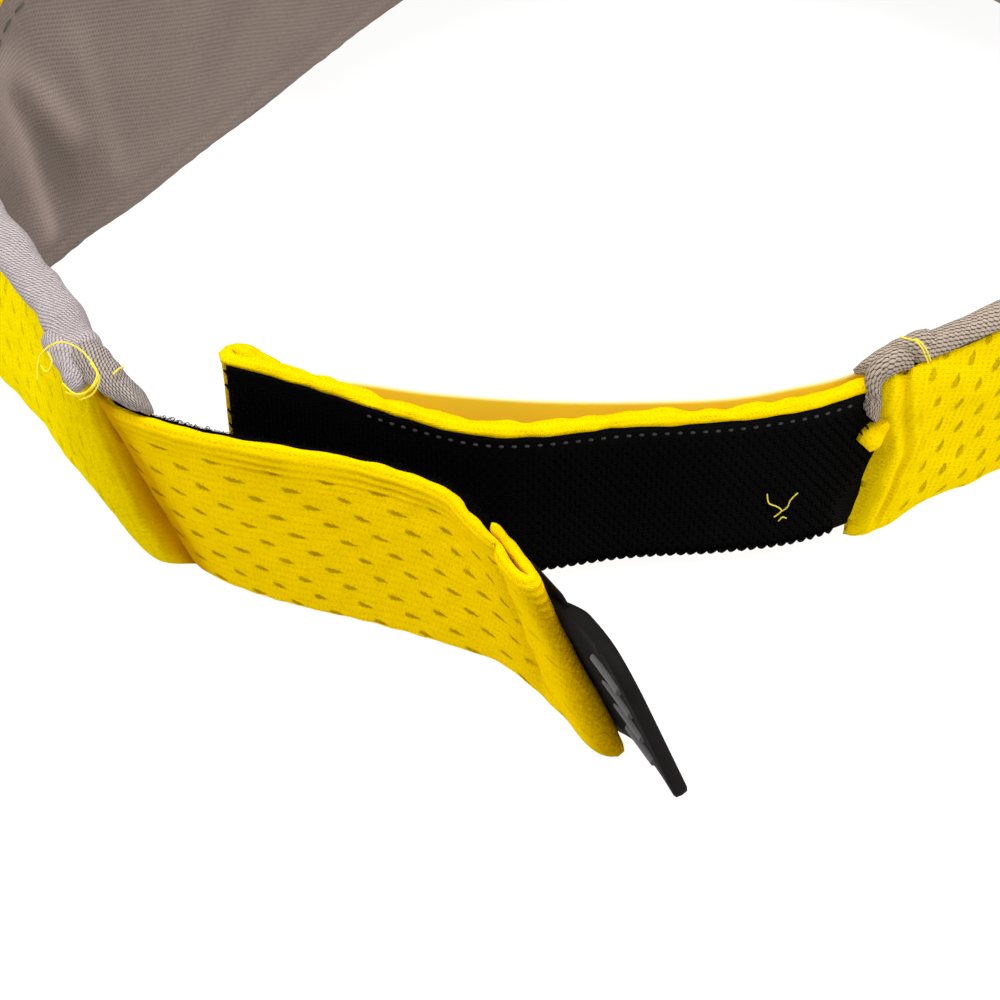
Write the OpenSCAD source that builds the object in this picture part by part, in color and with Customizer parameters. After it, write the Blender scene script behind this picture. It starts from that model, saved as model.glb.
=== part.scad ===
// Sun visor with a hook-and-loop closure, lying open on a table.
// Units are millimetres. +Y points to the brim, +X to the wearer's right, +Z up, and the table is z = 0.
// The origin is the centre of the head opening, on the table.
// Every strap is a ribbon: a row of upright ribs along a smooth path. A layer is a sheet between two
// offsets from that ribbon, so neighbouring layers share a face.

/* [Side straps] */
// Height of the padded side straps
side_h = 31; // [27:1:36]
// Thickness of the padding at the strap's middle
pad_t = 1.8; // [1.2:0.2:2.6]
// How far the strap's shell stands out beyond the padding
puff = 2.2; // [1.2:0.2:3]
// How far the knit roll rises above the shell
roll_h = 2.2; // [1:0.2:4]

/* [Closure] */
// Height of the tab and of the hook strap
closure_h = 27; // [25:1:31]
// Width of the hook tape and of the loop tape
tape_w = 25; // [20:1:25]
// Thickness of the woven backing of each tape
tape_t = 1.3; // [0.8:0.1:1.4]
// Thickness of the folded mesh of the closure straps
mesh_t = 1.5; // [1:0.1:1.6]
// Height of the table gap below the hook strap
hook_lift = 1.6; // [0.6:0.2:4]

/* [Pull tab] */
// Length of the rubber pull beyond the hem
pull_len = 14; // [10:1:20]
// Width of the rubber pull
pull_w = 23; // [16:1:25]
// Thickness of the rubber
pull_t = 2; // [1.4:0.2:2.6]
// Number of grip ribs
rib_count = 4; // [2:1:6]
// Height of the grip ribs
rib_h = 0.6; // [0.3:0.1:1]

/* [Front panel] */
// Height of the panel's top edge above the table at the middle
panel_top = 76; // [64:1:90]
// Height of the arch of the panel's lower edge at the middle
arch = 19; // [12:1:26]
// How far the panel's top leans inward at the middle
panel_lean = 8; // [0:1:14]
// Thickness of the knit lining
lining_t = 0.9; // [0.6:0.1:1.4]
// Thickness of the foam interlining
foam_t = 1.2; // [0.8:0.1:2]
// Thickness of the mesh shell
shell_t = 1.3; // [0.8:0.1:1.8]

/* [Brim] */
// How far the brim reaches in front of the panel
brim_reach = 66; // [50:1:80]
// Half the brim's width
brim_half = 84; // [80:1:92]
// Thickness of the stiff board
board_t = 1.8; // [1.2:0.1:2.4]
// Thickness of each fabric cover
cover_t = 0.9; // [0.5:0.1:1.2]
// Upward bow of the brim between its seam and its edge
brim_bow = 4; // [0:0.5:8]

/* [Hidden] */
$fn = 48;
steps = 5;
gap = 0.4;
yellow = [0.93, 0.80, 0.05];
amber = [0.85, 0.62, 0.08];
knit = [0.53, 0.48, 0.46];
knit_light = [0.72, 0.69, 0.71];
black = [0.05, 0.05, 0.05];
grey = [0.45, 0.45, 0.46];
foam = [0.88, 0.87, 0.80];
board = [0.25, 0.25, 0.27];
half_pad = pad_t / 2;
fold_r = half_pad + 1.6;
tab_t = mesh_t + tape_t;
tab_r = tab_t / 2;
hook_r = (mesh_t + tape_t) / 2;
tape_low = (closure_h - tape_w) / 2 / closure_h;

// Hinge lines, each as [x, y]
left_fold = [-92, -3];
right_fold = [104, -8.5];
peel_line = [-15.5, -74];
hook_line = [37.9, -54.9];

// Smooth path helpers
function unit(v) = v / norm(v);
function pick(list, i) = list[min(max(i, 0), len(list) - 1)];
function bend(a, b, c, d, t) =
    b + t * ((c - a) / 2 + t * ((a - 2.5 * b + 2 * c - d / 2) + t * ((b - c) * 1.5 + (d - a) / 2)));
function along(list, u) =
    let (i = min(floor(u), len(list) - 2))
    bend(pick(list, i - 1), list[i], list[i + 1], pick(list, i + 2), u - i);
function smooth(list, n) = [for (k = [0 : (len(list) - 1) * n]) along(list, k / n)];
function reversed(list) = [for (i = [len(list) - 1 : -1 : 0]) list[i]];
function last(list) = list[len(list) - 1];

// A rib is [bottom x, y, z, top x, y, z, thickness share]
function foot(r) = [r[0], r[1], r[2]];
function head(r) = [r[3], r[4], r[5]];
function rib(p, z0, q, z1, k) = [p.x, p.y, z0, q.x, q.y, z1, k];
function middle(r) = (foot(r) + head(r)) / 2;
function facing(st, i, side) =
    let (t = middle(pick(st, i + 1)) - middle(pick(st, i - 1)))
    side * unit(cross([t.x, t.y, 0], [0, 0, 1]));
function place(st, i, side, h, o) =
    foot(st[i]) + (head(st[i]) - foot(st[i])) * h + facing(st, i, side) * o * st[i][6];

// A closed sheet between two grids of points
module slab(a, b, flip) {
    m = len(a);
    n = len(a[0]);
    s = m * n;
    points = concat([for (r = a) for (p = r) p], [for (r = b) for (p = r) p]);
    front = [for (i = [0 : m - 2]) for (j = [0 : n - 2])
        let (q = i * n + j) each [[q, q + 1, q + n + 1], [q, q + n + 1, q + n]]];
    back = [for (f = front) [f[0] + s, f[2] + s, f[1] + s]];
    low = [for (i = [0 : m - 2])
        let (q = i * n) each [[q, q + n, q + n + s], [q, q + n + s, q + s]]];
    high = [for (i = [0 : m - 2])
        let (q = i * n + n - 1) each [[q, q + n + s, q + n], [q, q + s, q + n + s]]];
    start = [for (j = [0 : n - 2]) each [[j, j + s, j + 1 + s], [j, j + 1 + s, j + 1]]];
    end = [for (j = [0 : n - 2])
        let (q = s - n + j) each [[q, q + 1 + s, q + s], [q, q + 1, q + 1 + s]]];
    faces = concat(front, back, low, high, start, end);
    polyhedron(points, [for (f = faces) flip ? [f[0], f[2], f[1]] : f], convexity = 8);
}

// Rows are [height share, outer offset, inner offset]. The sheet can skip ribs at either end.
module layer(st, side, rows, skip_start = 0, skip_end = 0) {
    to = len(st) - 1 - skip_end;
    slab([for (i = [skip_start : to]) [for (r = rows) place(st, i, side, r[0], r[1])]],
         [for (i = [skip_start : to]) [for (r = rows) place(st, i, side, r[0], r[2])]],
         side < 0);
}

// Round fold of a strap on its hinge line
module fold(p, r, z0, z1) {
    translate([p.x, p.y, z0])
        cylinder(r = r, h = z1 - z0);
}

// Side strap paths, from the fold by the front panel to the open end
left_ribs = smooth([
    rib(left_fold, 0, left_fold, side_h, 0.72),
    rib([-83, -16], 0, [-84.5, -17], side_h, 0.95),
    rib([-72, -31], 0, [-75, -33], side_h, 1),
    rib([-64, -43], 0, [-68.5, -43.5], side_h, 1),
    rib([-56, -54], 0, [-65.5, -50], side_h, 1),
    rib([-49, -60.4], 0, [-61.5, -57.2], side_h, 1)], steps);
right_ribs = smooth([
    rib(right_fold, 0, right_fold, side_h, 0.72),
    rib([92, -17.5], 0, [92.5, -18.5], side_h, 0.95),
    rib([78, -28], 0, [79, -29.8], side_h, 1),
    rib([63.5, -37.4], 0, [64.3, -39.6], side_h, 1),
    rib([50.5, -45.5], 0, [51.3, -47.3], side_h, 1),
    rib([40.6, -52.2], 0, [40.4, -53.8], side_h, 1)], steps);

// Layers of a side strap. The lining is rolled outward over the top edge.
strap_top = 0.94;
shell_rows = [
    [0, half_pad + 0.7, half_pad],
    [0.08, half_pad + 1.3, half_pad],
    [0.3, half_pad + puff * 0.85, half_pad],
    [0.55, half_pad + puff, half_pad],
    [0.8, half_pad + puff * 0.9, half_pad],
    [strap_top, half_pad + 1.3, half_pad]];
pad_rows = [for (k = [1 : 5]) [shell_rows[k][0], half_pad, -half_pad]];
roll_top = 1 + roll_h / side_h;
lining_bulge = [0.8, 1.3, 1.35, 1.4, 1.6, 2.1];
lining_rows = concat(
    [for (k = [0 : 5]) [shell_rows[k][0], -half_pad, -half_pad - lining_bulge[k]]],
    [[strap_top + 0.015, half_pad + 1.5, -half_pad - 2.2],
     [1, half_pad + 2, -half_pad - 2.2],
     [roll_top - 0.02, half_pad + 0.9, -half_pad - 1.2],
     [roll_top, half_pad - 0.2, -half_pad - 0.2]]);
inner_from = 2;

module left_strap_shell() {
    color(yellow)
    union() {
        layer(left_ribs, 1, shell_rows);
        fold(left_fold, fold_r, 0.3, side_h * strap_top);
    }
}

module left_strap_padding() {
    color(foam)
    layer(left_ribs, 1, pad_rows, inner_from, 4);
}

module left_strap_lining() {
    color(knit_light)
    layer(left_ribs, 1, lining_rows, inner_from);
}

module right_strap_shell() {
    color(yellow)
    union() {
        layer(right_ribs, -1, shell_rows);
        fold(right_fold, fold_r, 0.3, side_h * strap_top);
    }
}

module right_strap_padding() {
    color(foam)
    layer(right_ribs, -1, pad_rows, inner_from, 4);
}

module right_strap_lining() {
    color(knit_light)
    layer(right_ribs, -1, lining_rows, inner_from);
}

// A shorter rib on the same surface, between two height shares
function cut(r, h0, h1) =
    let (a = foot(r) + (head(r) - foot(r)) * h0)
    let (b = foot(r) + (head(r) - foot(r)) * h1)
    [a.x, a.y, a.z, b.x, b.y, b.z, r[6]];

// Tab path: its tongue lies in the left strap's pocket, and the open part runs to the peel line.
// The ribbon is the middle of the tab's mesh, and the loop tape lies on its inner side.
tab_low = 0.4;
tab_high = tab_low + closure_h;
mesh_in = tape_t / 2;
root_way = unit([0.92, -0.39]);
end_way = unit([0.8, -0.6]);
function outside(way) = [way.y, -way.x];
tongue_ribs = [for (i = [len(left_ribs) - 4 : len(left_ribs) - 2])
    cut(left_ribs[i], 1.5 / side_h, tab_high / side_h)];
root_stop = peel_line + outside(root_way) * mesh_in - root_way * (tab_r + gap);
root_ribs = concat(tongue_ribs, smooth([
    cut(last(left_ribs), tab_low / side_h, tab_high / side_h),
    rib([-42, -64.3], tab_low, [-50.5, -62.3], tab_high, 1),
    rib([-34, -67.2], tab_low, [-38.5, -65.6], tab_high, 1),
    rib([-25, -69.9], tab_low, [-27, -68.8], tab_high, 1),
    rib(root_stop, tab_low, root_stop, tab_high, 1)], steps));
end_start = peel_line + outside(end_way) * mesh_in;
end_ribs = smooth([
    rib(end_start, tab_low, end_start, tab_high, 1),
    rib([-8, -78.3], tab_low, [-12.3, -79.3], tab_high, 1),
    rib([-1, -86], tab_low, [-8, -85], tab_high, 1),
    rib([5, -93], tab_low, [-3.7, -91.5], tab_high, 1)], steps);
hem_from = 11;

half_mesh = mesh_t / 2;
tape_shares = [tape_low, 0.5, 1 - tape_low];
mesh_rows = concat(
    [[0, half_mesh * 0.4, -half_mesh * 0.4]],
    [for (h = tape_shares) [h, half_mesh, -half_mesh]],
    [[0.985, half_mesh * 1.2, -half_mesh], [1, half_mesh * 0.5, -half_mesh * 0.5]]);
loop_rows = [for (h = tape_shares) [h, -half_mesh, -half_mesh - tape_t]];
hem_rows = [for (h = [0.03, 0.5, 0.94]) [h, -half_mesh + 0.05, -half_mesh - tape_t]];
flange_t = 0.9;
flange_rows = [for (h = [0.08, 0.5, 0.9]) [h, -half_mesh - tape_t, -half_mesh - tape_t - flange_t]];

module tab_shell_root() {
    color(yellow)
    layer(root_ribs, 1, mesh_rows);
}

module loop_tape_root() {
    color(black)
    layer(root_ribs, 1, loop_rows, 5);
}

module tab_shell_end() {
    color(yellow)
    union() {
        layer(end_ribs, 1, mesh_rows);
        layer(end_ribs, 1, hem_rows, hem_from);
        fold(peel_line, tab_r, tab_low, tab_high - 0.8);
    }
}

module loop_tape_end() {
    color(black)
    layer(end_ribs, 1, loop_rows, 2, len(end_ribs) - hem_from);
}

module pull_tab_flange() {
    color(black)
    layer(end_ribs, 1, flange_rows, hem_from);
}

// Rubber pull: it lies in a leaning plane. u runs along the pull, w up the hem, n to its outer face.
pull_foot = [8.3, -92.7, 1.9];
pull_head = [-0.7, -91.2, 25];
pull_w_way = unit(pull_head - pull_foot);
pull_out = unit(cross([0.443, -0.897, 0], pull_w_way));
pull_u_way = cross(pull_w_way, pull_out);
pull_skew = -0.21;
tip_r = 3;
pull_axis_r = pull_t / 2;

module on_pull() {
    u = pull_u_way;
    w = pull_w_way;
    n = pull_out;
    p = pull_foot;
    multmatrix([
        [u.x, w.x, n.x, p.x],
        [u.y, w.y, n.y, p.y],
        [u.z, w.z, n.z, p.z],
        [0, 0, 0, 1]])
        children();
}

function tip_corner(cx, cy, from) =
    [for (k = [0 : 5]) [cx + tip_r * cos(from + k * 18), cy + tip_r * sin(from + k * 18)]];
pull_outline = concat(
    [[0, 0]],
    tip_corner(pull_len - tip_r, pull_skew * (pull_len - tip_r) + tip_r, -90),
    tip_corner(pull_len - tip_r, pull_w + pull_skew * (pull_len - tip_r) - tip_r, 0),
    [[0, pull_w]]);

module pull_tab() {
    color(black)
    on_pull()
    union() {
        translate([0, 0, -pull_t / 2])
            linear_extrude(pull_t)
            polygon(pull_outline);
        rotate([-90, 0, 0])
            cylinder(r = pull_axis_r, h = pull_w);
    }
}

rib_pitch = (pull_w - 8) / (rib_count - 1);

module pull_tab_ribs() {
    color(grey)
    on_pull()
    for (k = [0 : rib_count - 1])
        translate([0, 4 + k * rib_pitch, pull_t / 2])
            linear_extrude(rib_h)
            polygon([
                [3, 3 * pull_skew - 0.9],
                [pull_len - 3, (pull_len - 3) * pull_skew - 0.9],
                [pull_len - 3, (pull_len - 3) * pull_skew + 0.9],
                [3, 3 * pull_skew + 0.9]]);
}

// Hook strap path, from the mouth of the right strap to its free end.
// The ribbon is the middle of the strap's mesh, and the hook tape lies on its outer side.
hook_high = hook_lift + closure_h;
hook_way = unit([-0.87, -0.49]);
hook_start = hook_line + outside(hook_way) * mesh_in;
hook_ribs = smooth([
    rib(hook_start, hook_lift, hook_start, hook_high, 1),
    rib([31, -56.8], hook_lift, [31, -57.8], hook_high, 1),
    rib([21, -58.5], hook_lift, [21, -60.1], hook_high, 1),
    rib([8, -59.6], hook_lift, [8, -61.2], hook_high, 1),
    rib([-9, -62.6], hook_lift, [-9, -63.3], hook_high, 1),
    rib([-21, -59.3], hook_lift, [-21, -59.6], hook_high, 1),
    rib([-33, -53.7], hook_lift, [-33, -53.7], hook_high, 1),
    rib([-46, -48.2], hook_lift, [-46, -48.2], hook_high, 1)], steps);
hook_rows = [for (h = tape_shares) [h, half_mesh + tape_t, half_mesh]];
strip_t = 0.8;
strip_ribs = smooth([
    rib([30.2, -55.3], 2.6, [30.2, -56.3], hook_high - 0.6, 1),
    rib([21, -57], 2.6, [21, -58.6], hook_high - 0.6, 1),
    rib([8, -57.6], 2.6, [8, -58.8], hook_high - 0.6, 1),
    rib([-5, -57.8], 2.6, [-5, -58.2], hook_high - 0.6, 1),
    rib([-18, -56.2], 2.6, [-18, -56.4], hook_high - 0.6, 1),
    rib([-27, -54.4], 2.6, [-27, -54.4], hook_high - 0.6, 1),
    rib([-33, -52.2], 2.6, [-33, -52.2], hook_high - 0.6, 1)], steps);
strip_rows = [for (h = [0, 0.5, 1]) [h, strip_t / 2, -strip_t / 2]];

module hook_strap_shell() {
    color(yellow)
    union() {
        layer(hook_ribs, -1, mesh_rows);
        fold(hook_line, hook_r, hook_lift, hook_high - 0.8);
    }
}

module hook_tape() {
    color(black)
    layer(hook_ribs, -1, hook_rows, 2, 1);
}

module hook_strap_lining() {
    color(amber)
    layer(strip_ribs, -1, strip_rows);
}

// The tongue fills the pocket of the right strap and ends just before the hook strap's fold
tongue_t = 1.4;
tongue_stop = hook_line - hook_way * (hook_r + gap + 0.2);
hook_tongue_ribs = concat(
    [for (i = [len(right_ribs) - 4 : len(right_ribs) - 1])
        cut(right_ribs[i], 2 / side_h, hook_high / side_h)],
    [rib(tongue_stop, 2, tongue_stop, hook_high, 1)]);
tongue_rows = [for (h = [0, 0.5, 1]) [h, tongue_t / 2, -tongue_t / 2]];

module hook_strap_tongue() {
    color(yellow)
    layer(hook_tongue_ribs, -1, tongue_rows);
}

// Front panel path, from the left fold round the front to the right fold. The ribbon is the lining's
// inner face. The open visor lies slack: its left flank is straight and its right flank bulges.
front_mid = [23, 85];
function leaning(p, way, share) = p + unit(way) * panel_lean * share;
panel_path = [
    rib([-88.3, -2.5], 0.4, [-88.3, -2.5], 33, 1),
    rib([-81, 5], 1, [-81, 5], 0.62 * panel_top + 3, 1),
    rib([-73.2, 13.2], 3.4, [-72.5, 13], 0.7 * panel_top + 2, 1),
    rib([-58.2, 27.4], arch * 0.39, leaning([-58.2, 27.4], [2, -2], 0.15), 0.81 * panel_top, 1),
    rib([-42.8, 45], arch * 0.58, leaning([-42.8, 45], [2, -2], 0.35), 0.88 * panel_top, 1),
    rib([-24.9, 63.5], arch * 0.8, leaning([-24.9, 63.5], [2, -3], 0.65), 0.94 * panel_top, 1),
    rib([-3.7, 79], arch * 0.94, leaning([-3.7, 79], [1, -3], 0.9), 0.985 * panel_top, 1),
    rib(front_mid, arch, leaning(front_mid, [0, -1], 1), panel_top, 1),
    rib([49.8, 80], arch * 0.94, leaning([49.8, 80], [-1, -3], 0.9), 0.985 * panel_top, 1),
    rib([72, 67.5], arch * 0.8, leaning([72, 67.5], [-2, -3], 0.65), 0.94 * panel_top, 1),
    rib([89, 53], arch * 0.58, leaning([89, 53], [-2, -2], 0.35), 0.88 * panel_top, 1),
    rib([100.5, 35.5], arch * 0.39, leaning([100.5, 35.5], [-2, -1], 0.15), 0.81 * panel_top, 1),
    rib([105, 18.5], 3.4, [104.5, 18.5], 0.7 * panel_top + 2, 1),
    rib([105.8, 7], 1, [105.8, 7], 0.62 * panel_top + 3, 1),
    rib([103, -4.9], 0.4, [103, -4.9], 33, 1)];
panel_steps = 5;
panel_ribs = smooth(panel_path, panel_steps);
panel_t = lining_t + foam_t + shell_t;
panel_shares = [0, 0.04, 0.25, 0.5, 0.75, 0.96, 1];
edge_round = [0.4, 0, 0, 0, 0, 0, 0.4];

module front_panel_lining() {
    color(knit)
    layer(panel_ribs, -1, [for (k = [0 : 6])
        [panel_shares[k], lining_t, edge_round[k] * lining_t]]);
}

module front_panel_interlining() {
    color(foam)
    layer(panel_ribs, -1, [for (k = [1 : 5])
        [panel_shares[k], lining_t + foam_t, lining_t]]);
}

module front_panel_shell() {
    color(yellow)
    layer(panel_ribs, -1, [for (k = [0 : 6])
        [panel_shares[k], panel_t - edge_round[k] * shell_t, lining_t + foam_t]]);
}

// Brim: a bowed sheet between the seam on the panel and the free edge
brim_from = 4 * panel_steps;
brim_mid = 7 * panel_steps;
brim_to = 10 * panel_steps + 1;
half_board = board_t / 2;
brim_half_t = half_board + cover_t;
front_y = front_mid.y + panel_t + brim_reach;
side_y = 49;
function edge_at(side, share, f, z) =
    [front_mid.x + side * brim_half * share, side_y + (front_y - side_y) * f, z];
function half_edge(side) = [
    edge_at(side, 0.95, 0.11, 4.2),
    edge_at(side, 1, 0.27, 1.1),
    edge_at(side, 0.93, 0.52, 1.1),
    edge_at(side, 0.66, 0.81, 4.8)];
corner_step = [2.7, 3.6, -2.4];
function seam_point(i) = place(panel_ribs, i, -1, 0, panel_t + 0.15) + [0, 0, brim_half_t + 0.4];
function corner(i, side) = seam_point(i) + [side * corner_step.x, corner_step.y, corner_step.z];
brim_edge = concat(
    [corner(brim_from, -1)],
    half_edge(-1),
    [[front_mid.x, front_y, 8]],
    reversed(half_edge(1)),
    [corner(brim_to, 1)]);

function edge_share(i) =
    i < brim_mid ? (i - brim_from) / (brim_mid - brim_from) : 1 + (i - brim_mid) / (brim_to - brim_mid);
function edge_point(i) = along(brim_edge, edge_share(i) * (len(brim_edge) - 1) / 2);
function brim_point(i, v) =
    let (a = seam_point(i))
    let (b = edge_point(i))
    a + (b - a) * v + [0, 0, brim_bow * 4 * v * (1 - v) * norm(b - a) / brim_reach];

// Rows are [share of the way to the edge, upper offset, lower offset]
module brim_layer(rows) {
    slab([for (i = [brim_from : brim_to]) [for (r = rows) brim_point(i, r[0]) + [0, 0, r[1]]]],
         [for (i = [brim_from : brim_to]) [for (r = rows) brim_point(i, r[0]) + [0, 0, r[2]]]],
         false);
}

board_shares = [0, 0.25, 0.5, 0.75, 0.95];

module brim_board() {
    color(board)
    brim_layer([for (v = board_shares) [v, half_board, -half_board]]);
}

module brim_top_cover() {
    color(yellow)
    brim_layer(concat([for (v = board_shares) [v, brim_half_t, half_board]], [[1, cover_t * 0.7, 0]]));
}

module brim_under_cover() {
    color(knit)
    brim_layer(concat([for (v = board_shares) [v, -half_board, -brim_half_t]], [[1, 0, -cover_t * 0.7]]));
}

brim_board();
brim_top_cover();
brim_under_cover();
front_panel_shell();
front_panel_interlining();
front_panel_lining();
left_strap_shell();
left_strap_padding();
left_strap_lining();
tab_shell_root();
loop_tape_root();
tab_shell_end();
loop_tape_end();
pull_tab_flange();
pull_tab();
pull_tab_ribs();
right_strap_shell();
right_strap_padding();
right_strap_lining();
hook_strap_tongue();
hook_strap_shell();
hook_tape();
hook_strap_lining();
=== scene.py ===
"""Looks of a sun visor that lies open at its back closure.

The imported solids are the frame. Each class of pieces below makes one sub-assembly over it: its cloth, knit,
tape, rubber and thread. Sizes are in millimetres until a mesh is made.
"""

import logging
import math
from collections.abc import Mapping, Sequence
from dataclasses import dataclass
from enum import Enum
from functools import cached_property
from typing import Any

import bpy
import numpy as np
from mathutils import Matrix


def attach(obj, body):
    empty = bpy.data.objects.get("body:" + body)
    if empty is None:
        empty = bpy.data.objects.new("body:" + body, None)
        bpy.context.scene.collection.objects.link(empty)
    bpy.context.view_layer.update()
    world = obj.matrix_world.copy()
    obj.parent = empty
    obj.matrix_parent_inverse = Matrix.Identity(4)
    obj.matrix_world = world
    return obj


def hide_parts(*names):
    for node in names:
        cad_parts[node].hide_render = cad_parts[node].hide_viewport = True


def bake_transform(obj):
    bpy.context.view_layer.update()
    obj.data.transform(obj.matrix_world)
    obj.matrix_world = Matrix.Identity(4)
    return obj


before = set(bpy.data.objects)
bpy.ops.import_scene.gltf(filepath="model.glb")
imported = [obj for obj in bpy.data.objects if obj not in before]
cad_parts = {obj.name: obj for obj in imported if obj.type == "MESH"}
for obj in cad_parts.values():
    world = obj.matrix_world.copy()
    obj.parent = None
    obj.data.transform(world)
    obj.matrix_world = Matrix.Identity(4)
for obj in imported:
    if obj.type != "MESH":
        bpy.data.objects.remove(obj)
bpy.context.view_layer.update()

Array = np.ndarray
Point = tuple[float, float]
Triple = tuple[float, float, float]
Path = tuple[Triple, ...]
Layer = tuple[float, int, float]
Object = bpy.types.Object
Socket = bpy.types.NodeSocket
Material = bpy.types.Material

MM = 0.001
TAU = math.tau
CLOTH_MAP = "cloth"
SIDE_HEIGHT = 31.0
CLOSURE_HEIGHT = 27.0
PANEL_HEIGHT = 60.0
STRIP_HEIGHT = 25.4
TAPE_BACK = 1.25
TINY = 1e-9
BLUNT = 0.02
FINE_GRAIN = (0.45, 3.0)  # pitch and detail of a yarn's grain
log = logging.getLogger("visor")


def smooth_path(rows: Array, fine: int) -> Array:
    """A smooth curve through rows of numbers.

    Args:
        rows: The control rows, one per line.
        fine: Steps between two control rows.

    Returns:
        The rows along the curve, the last control row included.
    """
    ends = np.vstack([rows[:1], rows, rows[-1:]])
    t = np.linspace(0, 1, fine, endpoint=False)[:, None]
    parts = []
    for a, b, c, d in zip(ends, ends[1:], ends[2:], ends[3:]):
        cubic = (b - c) * 1.5 + (d - a) / 2
        square = a - 2.5 * b + 2 * c - d / 2
        parts.append(b + t * ((c - a) / 2 + t * (square + t * cubic)))
    return np.vstack([*parts, rows[-1:]])


def travelled(points: Array) -> Array:
    """The length along a line of points, from 0 at its first."""
    return np.concatenate([[0], np.cumsum(np.linalg.norm(np.diff(points, axis=0), axis=1))])


def unit(ways: Array) -> Array:
    """The ways, each made one long."""
    return ways / np.maximum(np.linalg.norm(ways, axis=-1, keepdims=True), TINY)


def ease(low: float, high: float, x: Array) -> Array:
    """A smooth step from 0 at low to 1 at high."""
    t = np.clip((x - low) / (high - low), 0, 1)
    return t * t * (3 - 2 * t)


def hump(x: Array, centre: Array | float, width: float) -> Array:
    """A bell of height 1 about a centre."""
    return np.exp(-(((x - centre) / width) ** 2))


def quarter(t: Array) -> Array:
    """The rise of a quarter circle from 0 at 0 to 1 at 1."""
    return np.sqrt(1 - (1 - np.clip(t, 0, 1)) ** 2)


def rounded(nose: Point, before: Array, behind: Array) -> Array:
    """Shares of the thickness where a piece has rounded ends.

    Args:
        nose: Length of the rounding at each end, 0 for none.
        before: Distance of each point from the start.
        behind: Distance of each point from the end.

    Returns:
        The share at each point.
    """
    slim = np.ones_like(before)
    for radius, away in zip(nose, (before, behind)):
        if radius:
            slim *= quarter(np.maximum(away / radius, BLUNT))
    return slim


def ripple(x: Array, y: Array, pitch: float, seed: int) -> Array:
    """Soft uneven bumps of about unit height.

    Args:
        x: First coordinate, in millimetres.
        y: Second coordinate, in millimetres.
        pitch: Usual distance between two bumps.
        seed: Fixes the bumps.

    Returns:
        The height at each point.
    """
    waves = 9
    draw = np.random.default_rng(seed)
    total = np.zeros(np.broadcast(x, y).shape)
    for _ in range(waves):
        turn, phase = draw.uniform(0, TAU, 2)
        size = pitch * draw.uniform(0.7, 1.5)
        total += np.sin((x * math.cos(turn) + y * math.sin(turn)) * TAU / size + phase)
    return total / math.sqrt(waves)


def rough(x: Array, y: Array, *layers: Layer) -> Array:
    """Layers of ripples, each with its pitch, seed and height."""
    return sum(ripple(x, y, pitch, seed) * high for pitch, seed, high in layers)


@dataclass(frozen=True)
class Hold:
    """What a piece moves with: one body, or two bodies and a bend line, which only fix the piece in place."""

    body: str
    other: str = ""
    way: tuple[Triple, Triple] = ((0, 0, 0), (0, 0, 0))

    def take(self, piece: Object, finish: "Finish", *nodes: str) -> Object:
        """Fixes a finished piece to its body, or in place when it has two bodies, and hides the solids that
        it replaces.

        Args:
            piece: The piece.
            finish: What it is made of; not used.
            *nodes: The solids.

        Returns:
            The piece.
        """
        if self.other:
            start, end = (tuple(x * MM for x in place) for place in self.way)
            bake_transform(piece)
        else:
            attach(piece, self.body)
        if nodes:
            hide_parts(*nodes)
        log.info("%s: %d faces", piece.name, len(piece.data.polygons))
        return piece


FRONT = Hold("front")
TAB = Hold("tab")
PULL = Hold("pull")
HOOK = Hold("hook_strap")


@dataclass(frozen=True)
class Rib:
    """One upright line of a ribbon: foot and head in plan, their heights, and a share of the thickness."""

    foot: Point
    head: Point
    low: float
    high: float
    share: float = 1.0


def upright(low: float, high: float, *rows: tuple[float, ...]) -> tuple[Rib, ...]:
    """Ribs of one height, from rows of foot, head and perhaps a share of the thickness."""
    return tuple(Rib((a, b), (c, d), low, high, *share) for a, b, c, d, *share in rows)


@dataclass(frozen=True)
class Loop:
    """The closed cross-section of a piece: height shares, offsets, and the travel round it in millimetres."""

    share: Array
    offset: Array
    travel: Array

    ROUNDS = 3
    CUTS = (0.25, 0.75)
    FEWEST = 8

    @classmethod
    def through(cls, corners: Sequence[Point], height: float, pitch: float) -> "Loop":
        """A rounded loop.

        Args:
            corners: Pairs of height and offset, in order round the loop.
            height: The height that counts as share 1.
            pitch: Spacing of the points.

        Returns:
            The loop, with evenly spaced points.
        """
        line = np.array(corners, float)
        for _ in range(cls.ROUNDS):
            after = np.roll(line, -1, axis=0)
            line = np.stack([line * (1 - cut) + after * cut for cut in cls.CUTS], 1).reshape(-1, 2)
        closed = np.vstack([line, line[:1]])
        travel = travelled(closed)
        even = np.linspace(0, travel[-1], max(cls.FEWEST, int(travel[-1] / pitch)) + 1)
        high, out = (np.interp(even, travel, closed[:, k]) for k in (0, 1))
        return cls(high[:-1] / height, out[:-1], even)

    def nearest(self, share: float, face: Array) -> int:
        """The column of a face that is nearest to a height share."""
        return int(np.argmin(np.abs(self.share - share) + ~face))


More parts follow.
